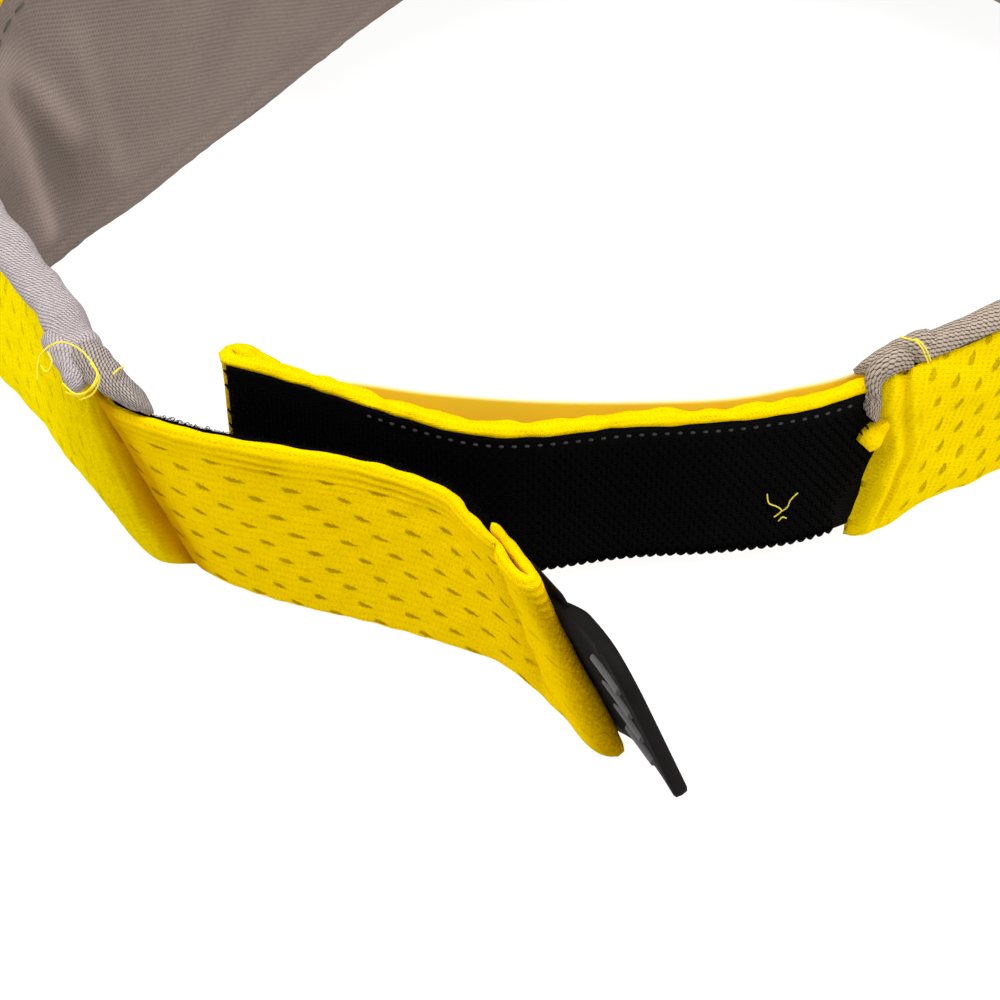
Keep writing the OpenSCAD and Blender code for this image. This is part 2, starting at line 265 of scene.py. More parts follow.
class Patch:
    """A grid of points round a loop, with the cloth's own coordinates in millimetres."""

    def __init__(self, points: Array, along: Array, travel: Array) -> None:
        """Keeps the grid.

        Args:
            points: Rows along the piece, columns round its loop, in millimetres.
            along: The cloth's coordinate along the piece, for each point.
            travel: The cloth's coordinate round the loop, one more than the columns.
        """
        self.points = points
        self.along = along + 0 * travel[:-1]
        self.travel = travel
        self.marks: dict[str, Array] = {}

    def normals(self) -> Array:
        """Outward ways.

        Returns:
            A unit vector for each point.
        """
        ahead = np.gradient(self.points, axis=0)
        beside = np.roll(self.points, -1, axis=1) - np.roll(self.points, 1, axis=1)
        way = unit(np.cross(beside, ahead))
        out = self.points - self.points.mean(axis=1, keepdims=True)
        return way * np.sign((way * out).sum())

    def push(self, amount: Array) -> None:
        """Moves each point outwards by an amount in millimetres, but never into the table."""
        self.points = self.points + self.normals() * amount[..., None]
        self.points[..., 2] = np.maximum(self.points[..., 2], 0)

    def grid(self) -> tuple[Array, Array]:
        """The cloth's coordinates of every point."""
        return self.along, np.broadcast_to(self.travel[:-1], self.along.shape)

    def mesh(self, name: str, finish: "Finish", hold: Hold, *nodes: str) -> Object:
        """Makes the closed mesh, in the scene.

        Args:
            name: The piece's name.
            finish: What it is made of.
            hold: What it moves with.
            *nodes: The solids that it replaces.

        Returns:
            The new piece, at the origin.
        """
        n, m = self.points.shape[:2]
        i, j = (x.ravel() for x in np.meshgrid(np.arange(n - 1), np.arange(m), indexing="ij"))
        k = (j + 1) % m
        quads = np.stack([i * m + j, (i + 1) * m + j, (i + 1) * m + k, i * m + k], 1)
        u, v = self.along, self.travel
        quad_map = np.stack([u[i, j], v[j], u[i + 1, j], v[j], u[i + 1, k], v[j + 1], u[i, k], v[j + 1]], 1)
        ring = np.arange(m)
        after = (ring + 1) % m
        first, last = n * m, n * m + 1
        caps = np.vstack([
            np.stack([np.full(m, first), ring, after], 1),
            np.stack([np.full(m, last), (n - 1) * m + after, (n - 1) * m + ring], 1)])
        cap_map = np.vstack([
            np.stack([u[row].mean() + 0 * v[:-1], v[:-1], u[row], v[:-1], u[row], v[1:]], 1)
            for row in (0, n - 1)])
        centres = self.points[[0, -1]].mean(axis=1)
        places = np.vstack([self.points.reshape(-1, 3), centres]) * MM
        corner = places[quads]
        turned = np.cross(corner[:, 2] - corner[:, 0], corner[:, 3] - corner[:, 1])
        if (turned * corner.mean(1)).sum() < 0:
            quads, caps = quads[:, ::-1], caps[:, ::-1]
            quad_map = quad_map.reshape(-1, 4, 2)[:, ::-1]
            cap_map = cap_map.reshape(-1, 3, 2)[:, ::-1]
        data = bpy.data.meshes.new(name)
        data.from_pydata(places.tolist(), [], quads.tolist() + caps.tolist())
        flat = np.concatenate([quad_map.ravel(), cap_map.ravel()]).astype(np.float32)
        data.uv_layers.new(name=CLOTH_MAP).uv.foreach_set("vector", flat)
        for mark, amount in self.marks.items():
            values = np.append(np.broadcast_to(amount, (n, m)), [0, 0]).astype(np.float32)
            data.attributes.new(mark, "FLOAT", "POINT").data.foreach_set("value", values)
        data.shade_smooth()
        return hold.take(shown(name, data, finish), finish, *nodes)


def linked(name: str, data: Any) -> Object:
    """Puts a new object with its data in the scene.

    Args:
        name: The object's name.
        data: Its mesh, camera or light.

    Returns:
        The object.
    """
    thing = bpy.data.objects.new(name, data)
    bpy.context.scene.collection.objects.link(thing)
    return thing


def shown(name: str, data: bpy.types.Mesh, finish: "Finish") -> Object:
    """Puts a mesh in the scene as a piece with one finish.

    Args:
        name: The piece's name.
        data: Its mesh.
        finish: What it is made of.

    Returns:
        The piece.
    """
    data.materials.clear()
    data.materials.append(finish.material())
    return linked(name, data)


class Ribbon:
    """A smooth upright band through a row of ribs, measured along its own length."""

    FINE = 40
    FOLD_FINE = 24
    FEWEST = 4

    def __init__(self, ribs: Sequence[Rib], side: int) -> None:
        """Lays the band.

        Args:
            ribs: The band's upright lines, in order.
            side: 1 where its outside is on the right of the way, or -1.
        """
        rows = np.array([[*r.foot, r.low, *r.head, r.high, r.share] for r in ribs])
        table = smooth_path(rows, self.FINE)
        middle = (table[:, 0:2] + table[:, 3:5]) / 2
        self.marks = travelled(middle)
        way = unit(np.gradient(middle, axis=0))
        normal = side * np.stack([way[:, 1], -way[:, 0], 0 * way[:, 0]], 1)
        self.table = np.hstack([table, normal])
        self.length = float(self.marks[-1])
        end = np.subtract(ribs[-1].foot, ribs[-2].foot)
        self.ahead = np.append(end / np.hypot(*end), 0)

    def mark(self, rib: Array | float) -> Array:
        """The length at which a rib, or a place between two ribs, stands."""
        return np.interp(np.asarray(rib) * self.FINE, np.arange(len(self.marks)), self.marks)

    def points(self, s: Array, share: Array, offset: Array) -> Array:
        """Points on or beside the band, or on its straight continuation past an end.

        Args:
            s: Lengths along the band.
            share: Shares of its height.
            offset: Distances to its outside.

        Returns:
            The points, in millimetres.
        """
        s, share, offset = np.broadcast_arrays(s, share, offset)
        inside = np.clip(s, 0, self.length)
        rows = np.stack([np.interp(inside, self.marks, column) for column in self.table.T], -1)
        past = (s - inside)[..., None]
        first = (self.table[1] - self.table[0]) / (self.marks[1] - self.marks[0])
        last = (self.table[-1] - self.table[-2]) / (self.marks[-1] - self.marks[-2])
        rows[..., 0:6] += past * np.where(past < 0, first[0:6], last[0:6])
        foot, head, thick, normal = rows[..., 0:3], rows[..., 3:6], rows[..., 6:7], rows[..., 7:10]
        return foot + (head - foot) * share[..., None] + normal * thick * offset[..., None]

    def folded(self, loop: Loop, path: Sequence[Point], step: float, nose: Point) -> Patch:
        """Sweeps a loop along a line that may turn back beside the band.

        Args:
            loop: The cross-section.
            path: Pairs of length and offset, in order.
            step: Spacing of the rows.
            nose: Length of the rounded nose at each end.

        Returns:
            The swept grid.
        """
        line = smooth_path(np.array(path, float), self.FOLD_FINE)
        run = travelled(line)
        even = np.linspace(0, run[-1], int(run[-1] / step) + 1)
        s, o = (np.interp(even, run, line[:, k])[:, None] for k in (0, 1))
        ahead, aside = np.gradient(s, axis=0), np.gradient(o, axis=0)
        size = np.hypot(ahead, aside)
        far = even[:, None] + 0 * loop.offset
        out = loop.offset * rounded(nose, far, far[-1:] - far)
        points = self.points(s - aside / size * out, loop.share, o + ahead / size * out)
        return Patch(points, far, loop.travel)

    def swept(
        self, loop: Loop, span: Point, step: float, nose: Point = (0, 0), reach: Array | float = 0,
    ) -> Patch:
        """Sweeps a loop along the band.

        Args:
            loop: The cross-section.
            span: Lengths at which the piece starts and stops.
            step: Spacing of the rows.
            nose: Length of the rounded nose at each end.
            reach: How much further the end of each column reaches.

        Returns:
            The swept grid.
        """
        part = np.linspace(0, 1, max(self.FEWEST, int((span[1] - span[0]) / step)))[:, None]
        s = span[0] + (span[1] - span[0]) * part + np.asarray(reach) * part**3 + 0 * loop.share
        middle = (loop.offset.max() + loop.offset.min()) / 2
        offset = middle + (loop.offset - middle) * rounded(nose, s - s[:1], s[-1:] - s)
        return Patch(self.points(s, loop.share, offset), s, loop.travel)


class NodeTree:
    """A node tree that grows by one method."""

    def __init__(self, tree: bpy.types.NodeTree) -> None:
        """Keeps the tree."""
        self.tree = tree

    def put(self, socket: Socket, value: Any) -> None:
        """Links or sets one input.

        Args:
            socket: The input.
            value: A shader value or an output to link, or a plain value to set.
        """
        value = value.socket if isinstance(value, Sock) else value
        if isinstance(value, Socket):
            self.tree.links.new(value, socket)
        elif socket.type == "RGBA":
            socket.default_value = (*value, 1)
        else:
            socket.default_value = value

    def add(
        self, kind: str, settings: Mapping[str, Any] | None = None, inputs: Mapping[Any, Any] | None = None,
    ) -> Any:
        """Adds a node.

        Args:
            kind: The node's type.
            settings: Its properties, set first.
            inputs: Values or links of its sockets, by name or number.

        Returns:
            The node's output sockets.
        """
        node = self.tree.nodes.new(kind)
        for key, value in (settings or {}).items():
            setattr(node, key, value)
        for key, value in (inputs or {}).items():
            self.put(node.inputs[key], value)
        return node.outputs


class Sock:
    """A shader value that takes part in sums."""

    def __init__(self, tree: NodeTree, socket: Socket) -> None:
        """Wraps an output socket of a tree."""
        self.tree = tree
        self.socket = socket

    def math(self, operation: str, *values: Any) -> "Sock":
        """A Math node on values."""
        outputs = self.tree.add("ShaderNodeMath", {"operation": operation}, dict(enumerate(values)))
        return Sock(self.tree, outputs[0])

    def __add__(self, other: Any) -> "Sock":
        """This plus other."""
        return self.math("ADD", self, other)

    __radd__ = __add__

    def __mul__(self, other: Any) -> "Sock":
        """This times other."""
        return self.math("MULTIPLY", self, other)

    __rmul__ = __mul__

    def __sub__(self, other: Any) -> "Sock":
        """This minus other."""
        return self.math("SUBTRACT", self, other)

    def __rsub__(self, other: Any) -> "Sock":
        """Other minus this."""
        return self.math("SUBTRACT", other, self)

    def __truediv__(self, other: Any) -> "Sock":
        """This divided by other."""
        return self.math("DIVIDE", self, other)

    def __rtruediv__(self, other: Any) -> "Sock":
        """Other divided by this."""
        return self.math("DIVIDE", other, self)

    def __pow__(self, other: Any) -> "Sock":
        """This to a power."""
        return self.math("POWER", self, other)

    def __rpow__(self, other: Any) -> "Sock":
        """Other to the power of this."""
        return self.math("POWER", other, self)

    def floor(self) -> "Sock":
        """The whole number below."""
        return self.math("FLOOR", self)

    def sin(self) -> "Sock":
        """The sine."""
        return self.math("SINE", self)

    def wave(self, pitch: float) -> "Sock":
        """A sine wave of a pitch."""
        return (self * (TAU / pitch)).sin()

    def size(self) -> "Sock":
        """The value without its sign."""
        return self.math("ABSOLUTE", self)


class ShaderTree(NodeTree):
    """A material's node tree round one Principled shader."""

    def __init__(self, name: str) -> None:
        """Starts an empty material.

        Args:
            name: The material's name.
        """
        self.material = bpy.data.materials.new(name)
        self.material.use_nodes = True
        super().__init__(self.material.node_tree)
        self.tree.nodes.clear()
        self.shader = self.tree.nodes.new("ShaderNodeBsdfPrincipled")
        self.add("ShaderNodeOutputMaterial", None, {0: self.shader.outputs[0]})

    def cloth(self) -> tuple[Sock, Sock]:
        """The cloth's own coordinates.

        Returns:
            Lengths along and round the piece, in millimetres.
        """
        place = self.add("ShaderNodeUVMap", {"uv_map": CLOTH_MAP})["UV"]
        parts = self.add("ShaderNodeSeparateXYZ", None, {0: place})
        return Sock(self, parts["X"]), Sock(self, parts["Y"])

    def attribute(self, name: str) -> Sock:
        """A number that the mesh keeps at each point."""
        return Sock(self, self.add("ShaderNodeAttribute", {"attribute_name": name})["Fac"])

    def noise(self, pitch: float, detail: float = 2.0) -> Sock:
        """Noise from 0 to 1 over the object.

        Args:
            pitch: Usual size of its features, in millimetres.
            detail: How many finer layers it has.

        Returns:
            The noise.
        """
        place = self.add("ShaderNodeTexCoord")["Object"]
        inputs = {"Vector": place, "Scale": 1 / (pitch * MM), "Detail": detail}
        return Sock(self, self.add("ShaderNodeTexNoise", None, inputs)["Fac"])

    def ease(self, low: float, high: float, value: Sock) -> Sock:
        """A smooth step from 0 at low to 1 at high."""
        ends = {0: value, 1: low, 2: high, 3: 0.0, 4: 1.0}
        return Sock(self, self.add("ShaderNodeMapRange", {"interpolation_type": "SMOOTHSTEP"}, ends)[0])

    def mix(self, share: Any, low: Any, high: Any) -> Sock:
        """A colour between two colours."""
        return Sock(self, self.add("ShaderNodeMix", {"data_type": "RGBA"}, {0: share, 6: low, 7: high})[2])

    def finish(self, relief: Sock | None = None, **inputs: Any) -> Material:
        """Sets the shader's inputs.

        Args:
            relief: The surface's height, in millimetres.
            **inputs: Base_Color and such, with _ for a space.

        Returns:
            The material.
        """
        if relief is not None:
            inputs["Normal"] = self.add("ShaderNodeBump", None, {"Distance": MM, "Height": relief})["Normal"]
        for key, value in inputs.items():
            self.put(self.shader.inputs[key.replace("_", " ")], value)
        return self.material


@dataclass(frozen=True)
class Finish:
    """What a piece is made of: its colour, its least and its added roughness, and its shine."""

    name: str
    slot: str
    colour: Triple
    rough: Point = (0.6, 0.2)
    shine: float = 0.5

    def material(self) -> Material:
        """The material, made once."""
        return bpy.data.materials.get(self.name) or self.shade(ShaderTree(self.name))

    def toned(self, share: float) -> Triple:
        """The colour, made darker or lighter."""
        return tuple(c * share for c in self.colour)

    def made(self, tree: ShaderTree, colour: Sock, wear: Sock, relief: Sock, **inputs: Any) -> Material:
        """Ends the material.

        Args:
            tree: The material's tree.
            colour: The surface's colour.
            wear: Where it is rougher, from 0 to 1.
            relief: Its height, in millimetres.
            **inputs: More inputs of the shader.

        Returns:
            The material.
        """
        low, more = self.rough
        return tree.finish(
            relief, Base_Color=colour, Roughness=low + more * wear, Specular_IOR_Level=self.shine, **inputs)

    def shade(self, tree: ShaderTree) -> Material:
        """Builds the material's nodes. Each kind of finish has its own way."""
        raise NotImplementedError


@dataclass(frozen=True)
class Speckled(Finish):
    """Foam, plastic or yarn with fine darker specks."""

    pitch: float = 0.4
    dark: float = 0.8
    high: float = 0.03

    def shade(self, tree: ShaderTree) -> Material:
        """Specks of a darker tone and a different shine."""
        speck = tree.noise(self.pitch)
        return self.made(tree, tree.mix(speck, self.toned(self.dark), self.colour), speck, speck * self.high)


@dataclass(frozen=True)
class MeshCloth(Finish):
    """Sports mesh: a fine knit with staggered rows of small slits, with painted shade in the slits, in its
    creases and in dim places.

    Pitches are in millimetres. Where a field holds several numbers, a comment says what each is for.
    """

    rough: Point = (0.85, 0.1)
    shine: float = 0.0
    # Dark colour of the knit's flecks, and of the painted shade in dim places and in the slits.
    deep: Triple = (0.2, 0.055, 0.0)
    # Colour of the painted shade in creases.
    crease: Triple = (0.44, 0.19, 0.0)
    faded: float = 0.92
    slow_pitch: float = 14.0
    turned: bool = False
    lean: float = 0.0
    depth: float = 0.8
    pitch: float = 7.0
    row: float = 2.5
    step: float = 0.3
    drift: Triple = (9.0, 0.35, 0.3)  # pitch, change of the rows, change of the places
    slit: Point = (2.1, 0.6)  # length, width
    slant: float = 0.1
    taper: Point = (1.15, 0.42)  # width at the middle, loss to one side
    strand: Point = (0.55, 1.6)  # pitch, slope
    frayed: Point = (0.45, 2.2)  # by strands, by grain
    rim: Point = (0.4, 1.25)  # where a slit is wholly open, where it ends
    open_share: Triple = (0.7, 0.5, 5.0)  # least, more, pitch
    hole_tone: Point = (0.78, 0.3)  # everywhere, on strands
    courses: Point = (2.2, 0.3)  # for each row, change by grain
    course: float = 0.14
    course_line: Point = (0.04, 0.3)  # half width of the line, and with its soft edge
    purl: Triple = (0.66, 2.4, 2.0)  # pitch, shift between courses, change by grain
    weave: tuple[Point, Point] = ((0.6, 0.46), (0.5, 0.38))  # slope and pitch of each yarn
    speckle: float = 0.5
    weave_tone: float = 0.04
    # Strength of the painted shade where the mesh is marked dim.
    dim_shade: Point = (0.55, 0.9)  # everywhere, by grain
    high: tuple[float, ...] = (0.03, 0.07, 0.26, 0.16)  # weave, courses, slits, grain

    def shade(self, tree: ShaderTree) -> Material:
        """Slits, lines of the knit, grain and a slow change of colour.

        Args:
            tree: The empty material.

        Returns:
            The material.
        """
        u, v = tree.cloth()
        a, b = (v, u + v * self.lean) if self.turned else (u, v)
        grain = tree.noise(*FINE_GRAIN)
        speck = grain - 0.5
        # Slits: each a wedge that tapers to one side, its rim frayed by strands and grain.
        drift = tree.noise(self.drift[0]) - 0.5
        rows = b / self.row + drift * self.drift[1]
        row = rows.floor()
        across = (rows - row - 0.5) * self.row
        places = a / self.pitch + row * self.step + drift * self.drift[2]
        beside = (places - places.floor() - 0.5) * self.pitch
        long, wide = self.slit
        wedge = (across + beside * self.slant) / (wide / 2) / (self.taper[0] - beside * self.taper[1])
        ladder = (a + b * self.strand[1]).wave(self.strand[0])
        far = (beside / (long / 2)) ** 2.0 + wedge ** 2.0
        far = far + ladder * self.frayed[0] + speck * self.frayed[1]
        least, more, patch = self.open_share
        open_share = (least + more * tree.noise(patch)) * (1 - tree.attribute("plain"))
        hole = (1 - tree.ease(*self.rim, far)) * open_share
        # Courses: dotted lines of the knit between the rows of slits.
        lines = rows * self.courses[0] + speck * self.courses[1]
        line = (lines + 0.5).floor()
        pitch, shift, change = self.purl
        purl = (a * (TAU / pitch) + line * shift + grain * change).sin()
        course = (1 - tree.ease(*self.course_line, (lines - line).size())) * (0.5 + 0.5 * purl)
        (slope, yarn), (back_slope, back_yarn) = self.weave
        weave = (a + b * slope).wave(yarn) * (b - a * back_slope).wave(back_yarn)
        # Colour: the ground, then grain, then painted shade in dim places, in creases and in the slits over
        # it.
        slow = tree.noise(self.slow_pitch)
        ground = tree.mix(slow, self.toned(self.faded), self.colour)
        fleck = course * self.course + speck * self.speckle - weave * self.weave_tone
        ground = tree.mix(fleck, ground, self.deep)
        ground = tree.mix(tree.attribute("dim_shade") * (self.dim_shade[0] + grain * self.dim_shade[1]), ground, self.deep)
        ground = tree.mix(tree.attribute("shade"), ground, self.crease)
        # The slits' dark colour is painted shade in the holes.
        tone = hole * (self.hole_tone[0] + self.hole_tone[1] * ladder) * self.depth
        high = self.high
        relief = weave * high[0] - course * high[1] - hole * high[2] + grain * high[3]
        return self.made(tree, tree.mix(tone, ground, self.deep), slow, relief)


@dataclass(frozen=True)
class RibKnit(Finish):
    """Fine knit with slanting ribs."""

    rough: Point = (0.8, 0.15)
    shine: float = 0.08
    rib: float = 1.3
    slant: float = 0.5
    stitch: float = 0.6
    uneven: Point = (0.1, 0.5)  # the loops' shift by ribs, by grain
    tones: Point = (0.66, 1.3)
    tone: tuple[float, ...] = (0.45, 0.08, 0.03, 0.4, 0.5)  # middle, ribs, loops, slow change, grain
    pitches: Point = (0.5, 11.0)  # grain, slow change
    high: Triple = (0.035, 0.02, 0.05)  # ribs, loops, grain

    def shade(self, tree: ShaderTree) -> Material:
        """Slanting ribs with tiny loops across them.

        Args:
            tree: The empty material.

        Returns:
            The material.
        """
        u, v = tree.cloth()
        cos, sin = math.cos(self.slant), math.sin(self.slant)
        rib = (v * cos + u * sin).wave(self.rib)
        grain, slow = (tree.noise(pitch) for pitch in self.pitches)
        loop = (u * cos - v * sin + rib * self.uneven[0] + grain * self.uneven[1]).wave(self.stitch)
        middle, ribs, loops, change, specks = self.tone
        tone = middle + rib * ribs + loop * loops + (slow - 0.5) * change + (grain - 0.5) * specks
        # The fold mark adds painted light on fold ridges and painted shade in hollows.
        colour = tree.mix(tone + tree.attribute("fold"), *(self.toned(share) for share in self.tones))
        return self.made(tree, colour, grain, rib * self.high[0] + loop * self.high[1] + grain * self.high[2])


@dataclass(frozen=True)
class TwillKnit(Finish):
    """Chunky knit: slanting rows of small brick-like loops with dark gaps."""

    rough: Point = (0.85, 0.1)
    shine: float = 0.04
    brick: Point = (1.1, 0.8)  # length, height
    slant: float = 0.35
    gap: float = 0.3
    dash: float = 0.9
    uneven: float = 0.35
    skew: float = 0.3
    long: float = 0.8
    rim: Point = (0.35, 1.6)
    light: float = 0.95
    slow: Point = (8.0, 0.3)  # pitch, change of tone
    high: Point = (0.12, 0.2)  # grain, loops

    def shade(self, tree: ShaderTree) -> Material:
        """Staggered rows of loops with dark gaps where they meet.

        Args:
            tree: The empty material.

        Returns:
            The material.
        """
        u, v = tree.cloth()
        grain = tree.noise(*FINE_GRAIN)
        speck = grain - 0.5
        rows = (v + u * self.slant) / self.brick[1] + speck * self.uneven
        row = rows.floor()
        places = u / self.brick[0] + row * 0.5 + speck * self.uneven
        beside = (places - places.floor() - 0.5) * 2.0
        across = (rows - row - 0.5) * 2.0
        far = (beside + across * self.skew) ** 2.0 * self.long + across ** 2.0
        loop = 1 - tree.ease(*self.rim, far)
        pitch, change = self.slow
        tone = self.light - self.dash * (1 - loop) + speck + (tree.noise(pitch) - 0.5) * change
        colour = tree.mix(tone, self.toned(self.gap), self.colour)
        return self.made(tree, colour, grain, grain * self.high[0] + loop * self.high[1])


@dataclass(frozen=True)
class WovenTape(Finish):
    """Black woven tape."""

    rough: Point = (0.6, 0.25)
    shine: float = 0.025
    yarn: Point = (1.7, 0.62)  # pitch of the warp, of the weft
    bend: float = 0.12
    pale: float = 2.2
    tone: Point = (0.4, 0.3)  # middle, weft
    grain_pitch: float = 0.4
    high: Triple = (0.06, 0.03, 0.03)  # weft, warp, grain

    def shade(self, tree: ShaderTree) -> Material:
        """A fine ribbed weave.

        Args:
            tree: The empty material.

        Returns:
            The material.
        """
        u, v = tree.cloth()
        warp = u.wave(self.yarn[0])
        weft = (v + warp * self.bend).wave(self.yarn[1])
        grain = tree.noise(self.grain_pitch)
        colour = tree.mix(self.tone[0] + weft * self.tone[1], self.colour, self.toned(self.pale))
        relief = weft * self.high[0] + warp * self.high[1] + grain * self.high[2]
        return self.made(tree, colour, grain, relief)


@dataclass(frozen=True)
class Satin(Finish):
    """Smooth coated cloth with a painted highlight along its top edge, and faint painted emission for the
    little light that comes through it.
    """

    rough: Point = (0.5, 0.15)
    shine: float = 0.12
    # Colour of the painted highlight along the top edge.
    edge: Triple = (0.9, 0.84, 0.66)
    faded: float = 0.9
    slow_pitch: float = 12.0
    yarn: float = 0.35
    high: float = 0.012
    # Strength of the painted emission in the cloth's own colour.
    painted_glow: float = 0.12

    def shade(self, tree: ShaderTree) -> Material:
        """A faint weave under a soft shine.

        Args:
            tree: The empty material.

        Returns:
            The material.
        """
        u, v = tree.cloth()
        weave = u.wave(self.yarn) * v.wave(self.yarn)
        slow = tree.noise(self.slow_pitch)
        ground = tree.mix(slow, self.toned(self.faded), self.colour)
        # The pale mark paints a highlight along the top edge, and the emission is painted light.
        colour = tree.mix(tree.attribute("pale"), ground, self.edge)
        painted_glow = {"Emission_Color": ground, "Emission_Strength": self.painted_glow}
        return self.made(tree, colour, slow, weave * self.high, **painted_glow)


@dataclass(frozen=True)
class Rubber(Finish):
    """Moulded rubber with a fine grain."""

    rough: Point = (0.55, 0.25)
    shine: float = 0.08
    pits: Point = (0.25, 3.0)  # pitch, detail
    dust: float = 0.15
    dust_grain: Point = (1.6, 4.0)  # pitch, detail
    dust_rim: Point = (0.6, 0.8)
    dust_tone: Point = (2, 0.015)  # times the colour, and more
    high: float = 0.05

    def shade(self, tree: ShaderTree) -> Material:
        """Fine pits, a little dust and uneven shine.

        Args:
            tree: The empty material.

        Returns:
            The material.
        """
        pits = tree.noise(*self.pits)
        dust = tree.ease(*self.dust_rim, tree.noise(*self.dust_grain)) * self.dust
        times, more = self.dust_tone
        colour = tree.mix(dust, self.colour, tuple(c * times + more for c in self.colour))
        return self.made(tree, colour, pits, pits * self.high)


@dataclass(frozen=True)
class TwillCloth(Finish):
    """Plain twill cloth."""

    rough: Point = (0.8, 0.1)
    shine: float = 0.05
    ridge: float = 0.8
    yarn: float = 0.5
    dark: float = 0.78
    slow_pitch: float = 16.0
    tone: Triple = (0.55, 0.2, 0.4)  # middle, ridges, slow change
    high: Point = (0.05, 0.02)  # ridges, yarn

    def shade(self, tree: ShaderTree) -> Material:
        """Fine slanting ridges.

        Args:
            tree: The empty material.

        Returns:
            The material.
        """
        u, v = tree.cloth()
        ridge = (u + v).wave(self.ridge)
        slow = tree.noise(self.slow_pitch)
        middle, ridges, change = self.tone
        tone = middle + ridge * ridges + (slow - 0.5) * change
        colour = tree.mix(tone, self.toned(self.dark), self.colour)
        return self.made(tree, colour, slow, ridge * self.high[0] + (u - v).wave(self.yarn) * self.high[1])


NYLON = {"pitch": 0.5, "dark": 0.6, "rough": (0.5, 0.3), "shine": 0.025, "high": 0.02}
YARN = {"pitch": 0.3, "dark": 0.75, "rough": (0.55, 0.2)}
TAPE_BLACK = (0.0016, 0.0014, 0.0014)
TAB_MESH = MeshCloth("tab_mesh_cloth", "yellow_mesh", (0.9, 0.605, 0.0))
EDGE_MESH = MeshCloth("edge_mesh_cloth", "yellow_mesh", (0.98, 0.665, 0.0), depth=0.0)
# A lighter copy of the yellow mesh: its extra lightness is painted light on the left strap.
LEFT_MESH = MeshCloth("left_mesh_cloth", "yellow_mesh", (0.97, 0.77, 0.0), turned=True, depth=0.15)
RIGHT_MESH = MeshCloth(
    "right_mesh_cloth", "yellow_mesh", (0.98, 0.71, 0.0), turned=True, lean=0.27, depth=0.55,
    slit=(1.75, 0.95), course=0.2)
PANEL_KNIT = RibKnit("panel_knit", "grey_knit", (0.232, 0.184, 0.163), rib=0.75, slant=-0.518)
LEFT_KNIT = TwillKnit("left_knit", "light_knit", (0.47, 0.41, 0.415), brick=(0.72, 0.52), gap=0.35, dash=0.6)
RIGHT_KNIT = TwillKnit(
    "right_knit", "light_knit", (0.43, 0.345, 0.275), brick=(0.82, 0.6), slant=0.2, gap=0.1)
TAIL_KNIT = TwillKnit("tail_knit", "light_knit", (0.4, 0.34, 0.31), brick=(0.64, 0.48), gap=0.12)
BRIM_KNIT = RibKnit("brim_knit", "grey_knit", (0.235, 0.195, 0.18), slant=0.0)
BRIM_CLOTH = TwillCloth("brim_twill", "brim_cloth", (0.8, 0.535, 0.0))
HOOK_WEAVE = WovenTape("hook_weave", "hook_tape", TAPE_BLACK)
HOOK_NYLON = Speckled("hook_nylon", "hook_tape", (0.0013, 0.0011, 0.001), **NYLON)
GREY_NYLON = Speckled("grey_nylon", "hook_tape", (0.065, 0.06, 0.058), **NYLON)
LOOP_WEAVE = WovenTape("loop_weave", "loop_tape", TAPE_BLACK)
LOOP_PILE = Speckled("loop_pile", "loop_tape", (0.003, 0.0027, 0.0025), **NYLON)
AMBER = Satin("amber_satin", "amber_lining", (1.0, 0.72, 0.04))
PULL_RUBBER = Rubber("pull_rubber", "rubber", (0.006, 0.005, 0.0047))
GRIP_RUBBER = Rubber("grip_rubber", "grip", (0.125, 0.12, 0.125))
FOAM = Speckled("foam_sheet", "foam", (0.80, 0.78, 0.66))
BOARD = Speckled("brim_sheet", "board", (0.08, 0.08, 0.09))
YELLOW_THREAD = Speckled("yellow_thread", "yellow_mesh", (0.93, 0.76, 0.02), **YARN)
GREY_THREAD = Speckled("grey_thread", "grey_knit", (0.1, 0.082, 0.075), **YARN)
BLACK_THREAD = Speckled("black_thread", "hook_tape", (0.003, 0.0028, 0.0028), **NYLON)


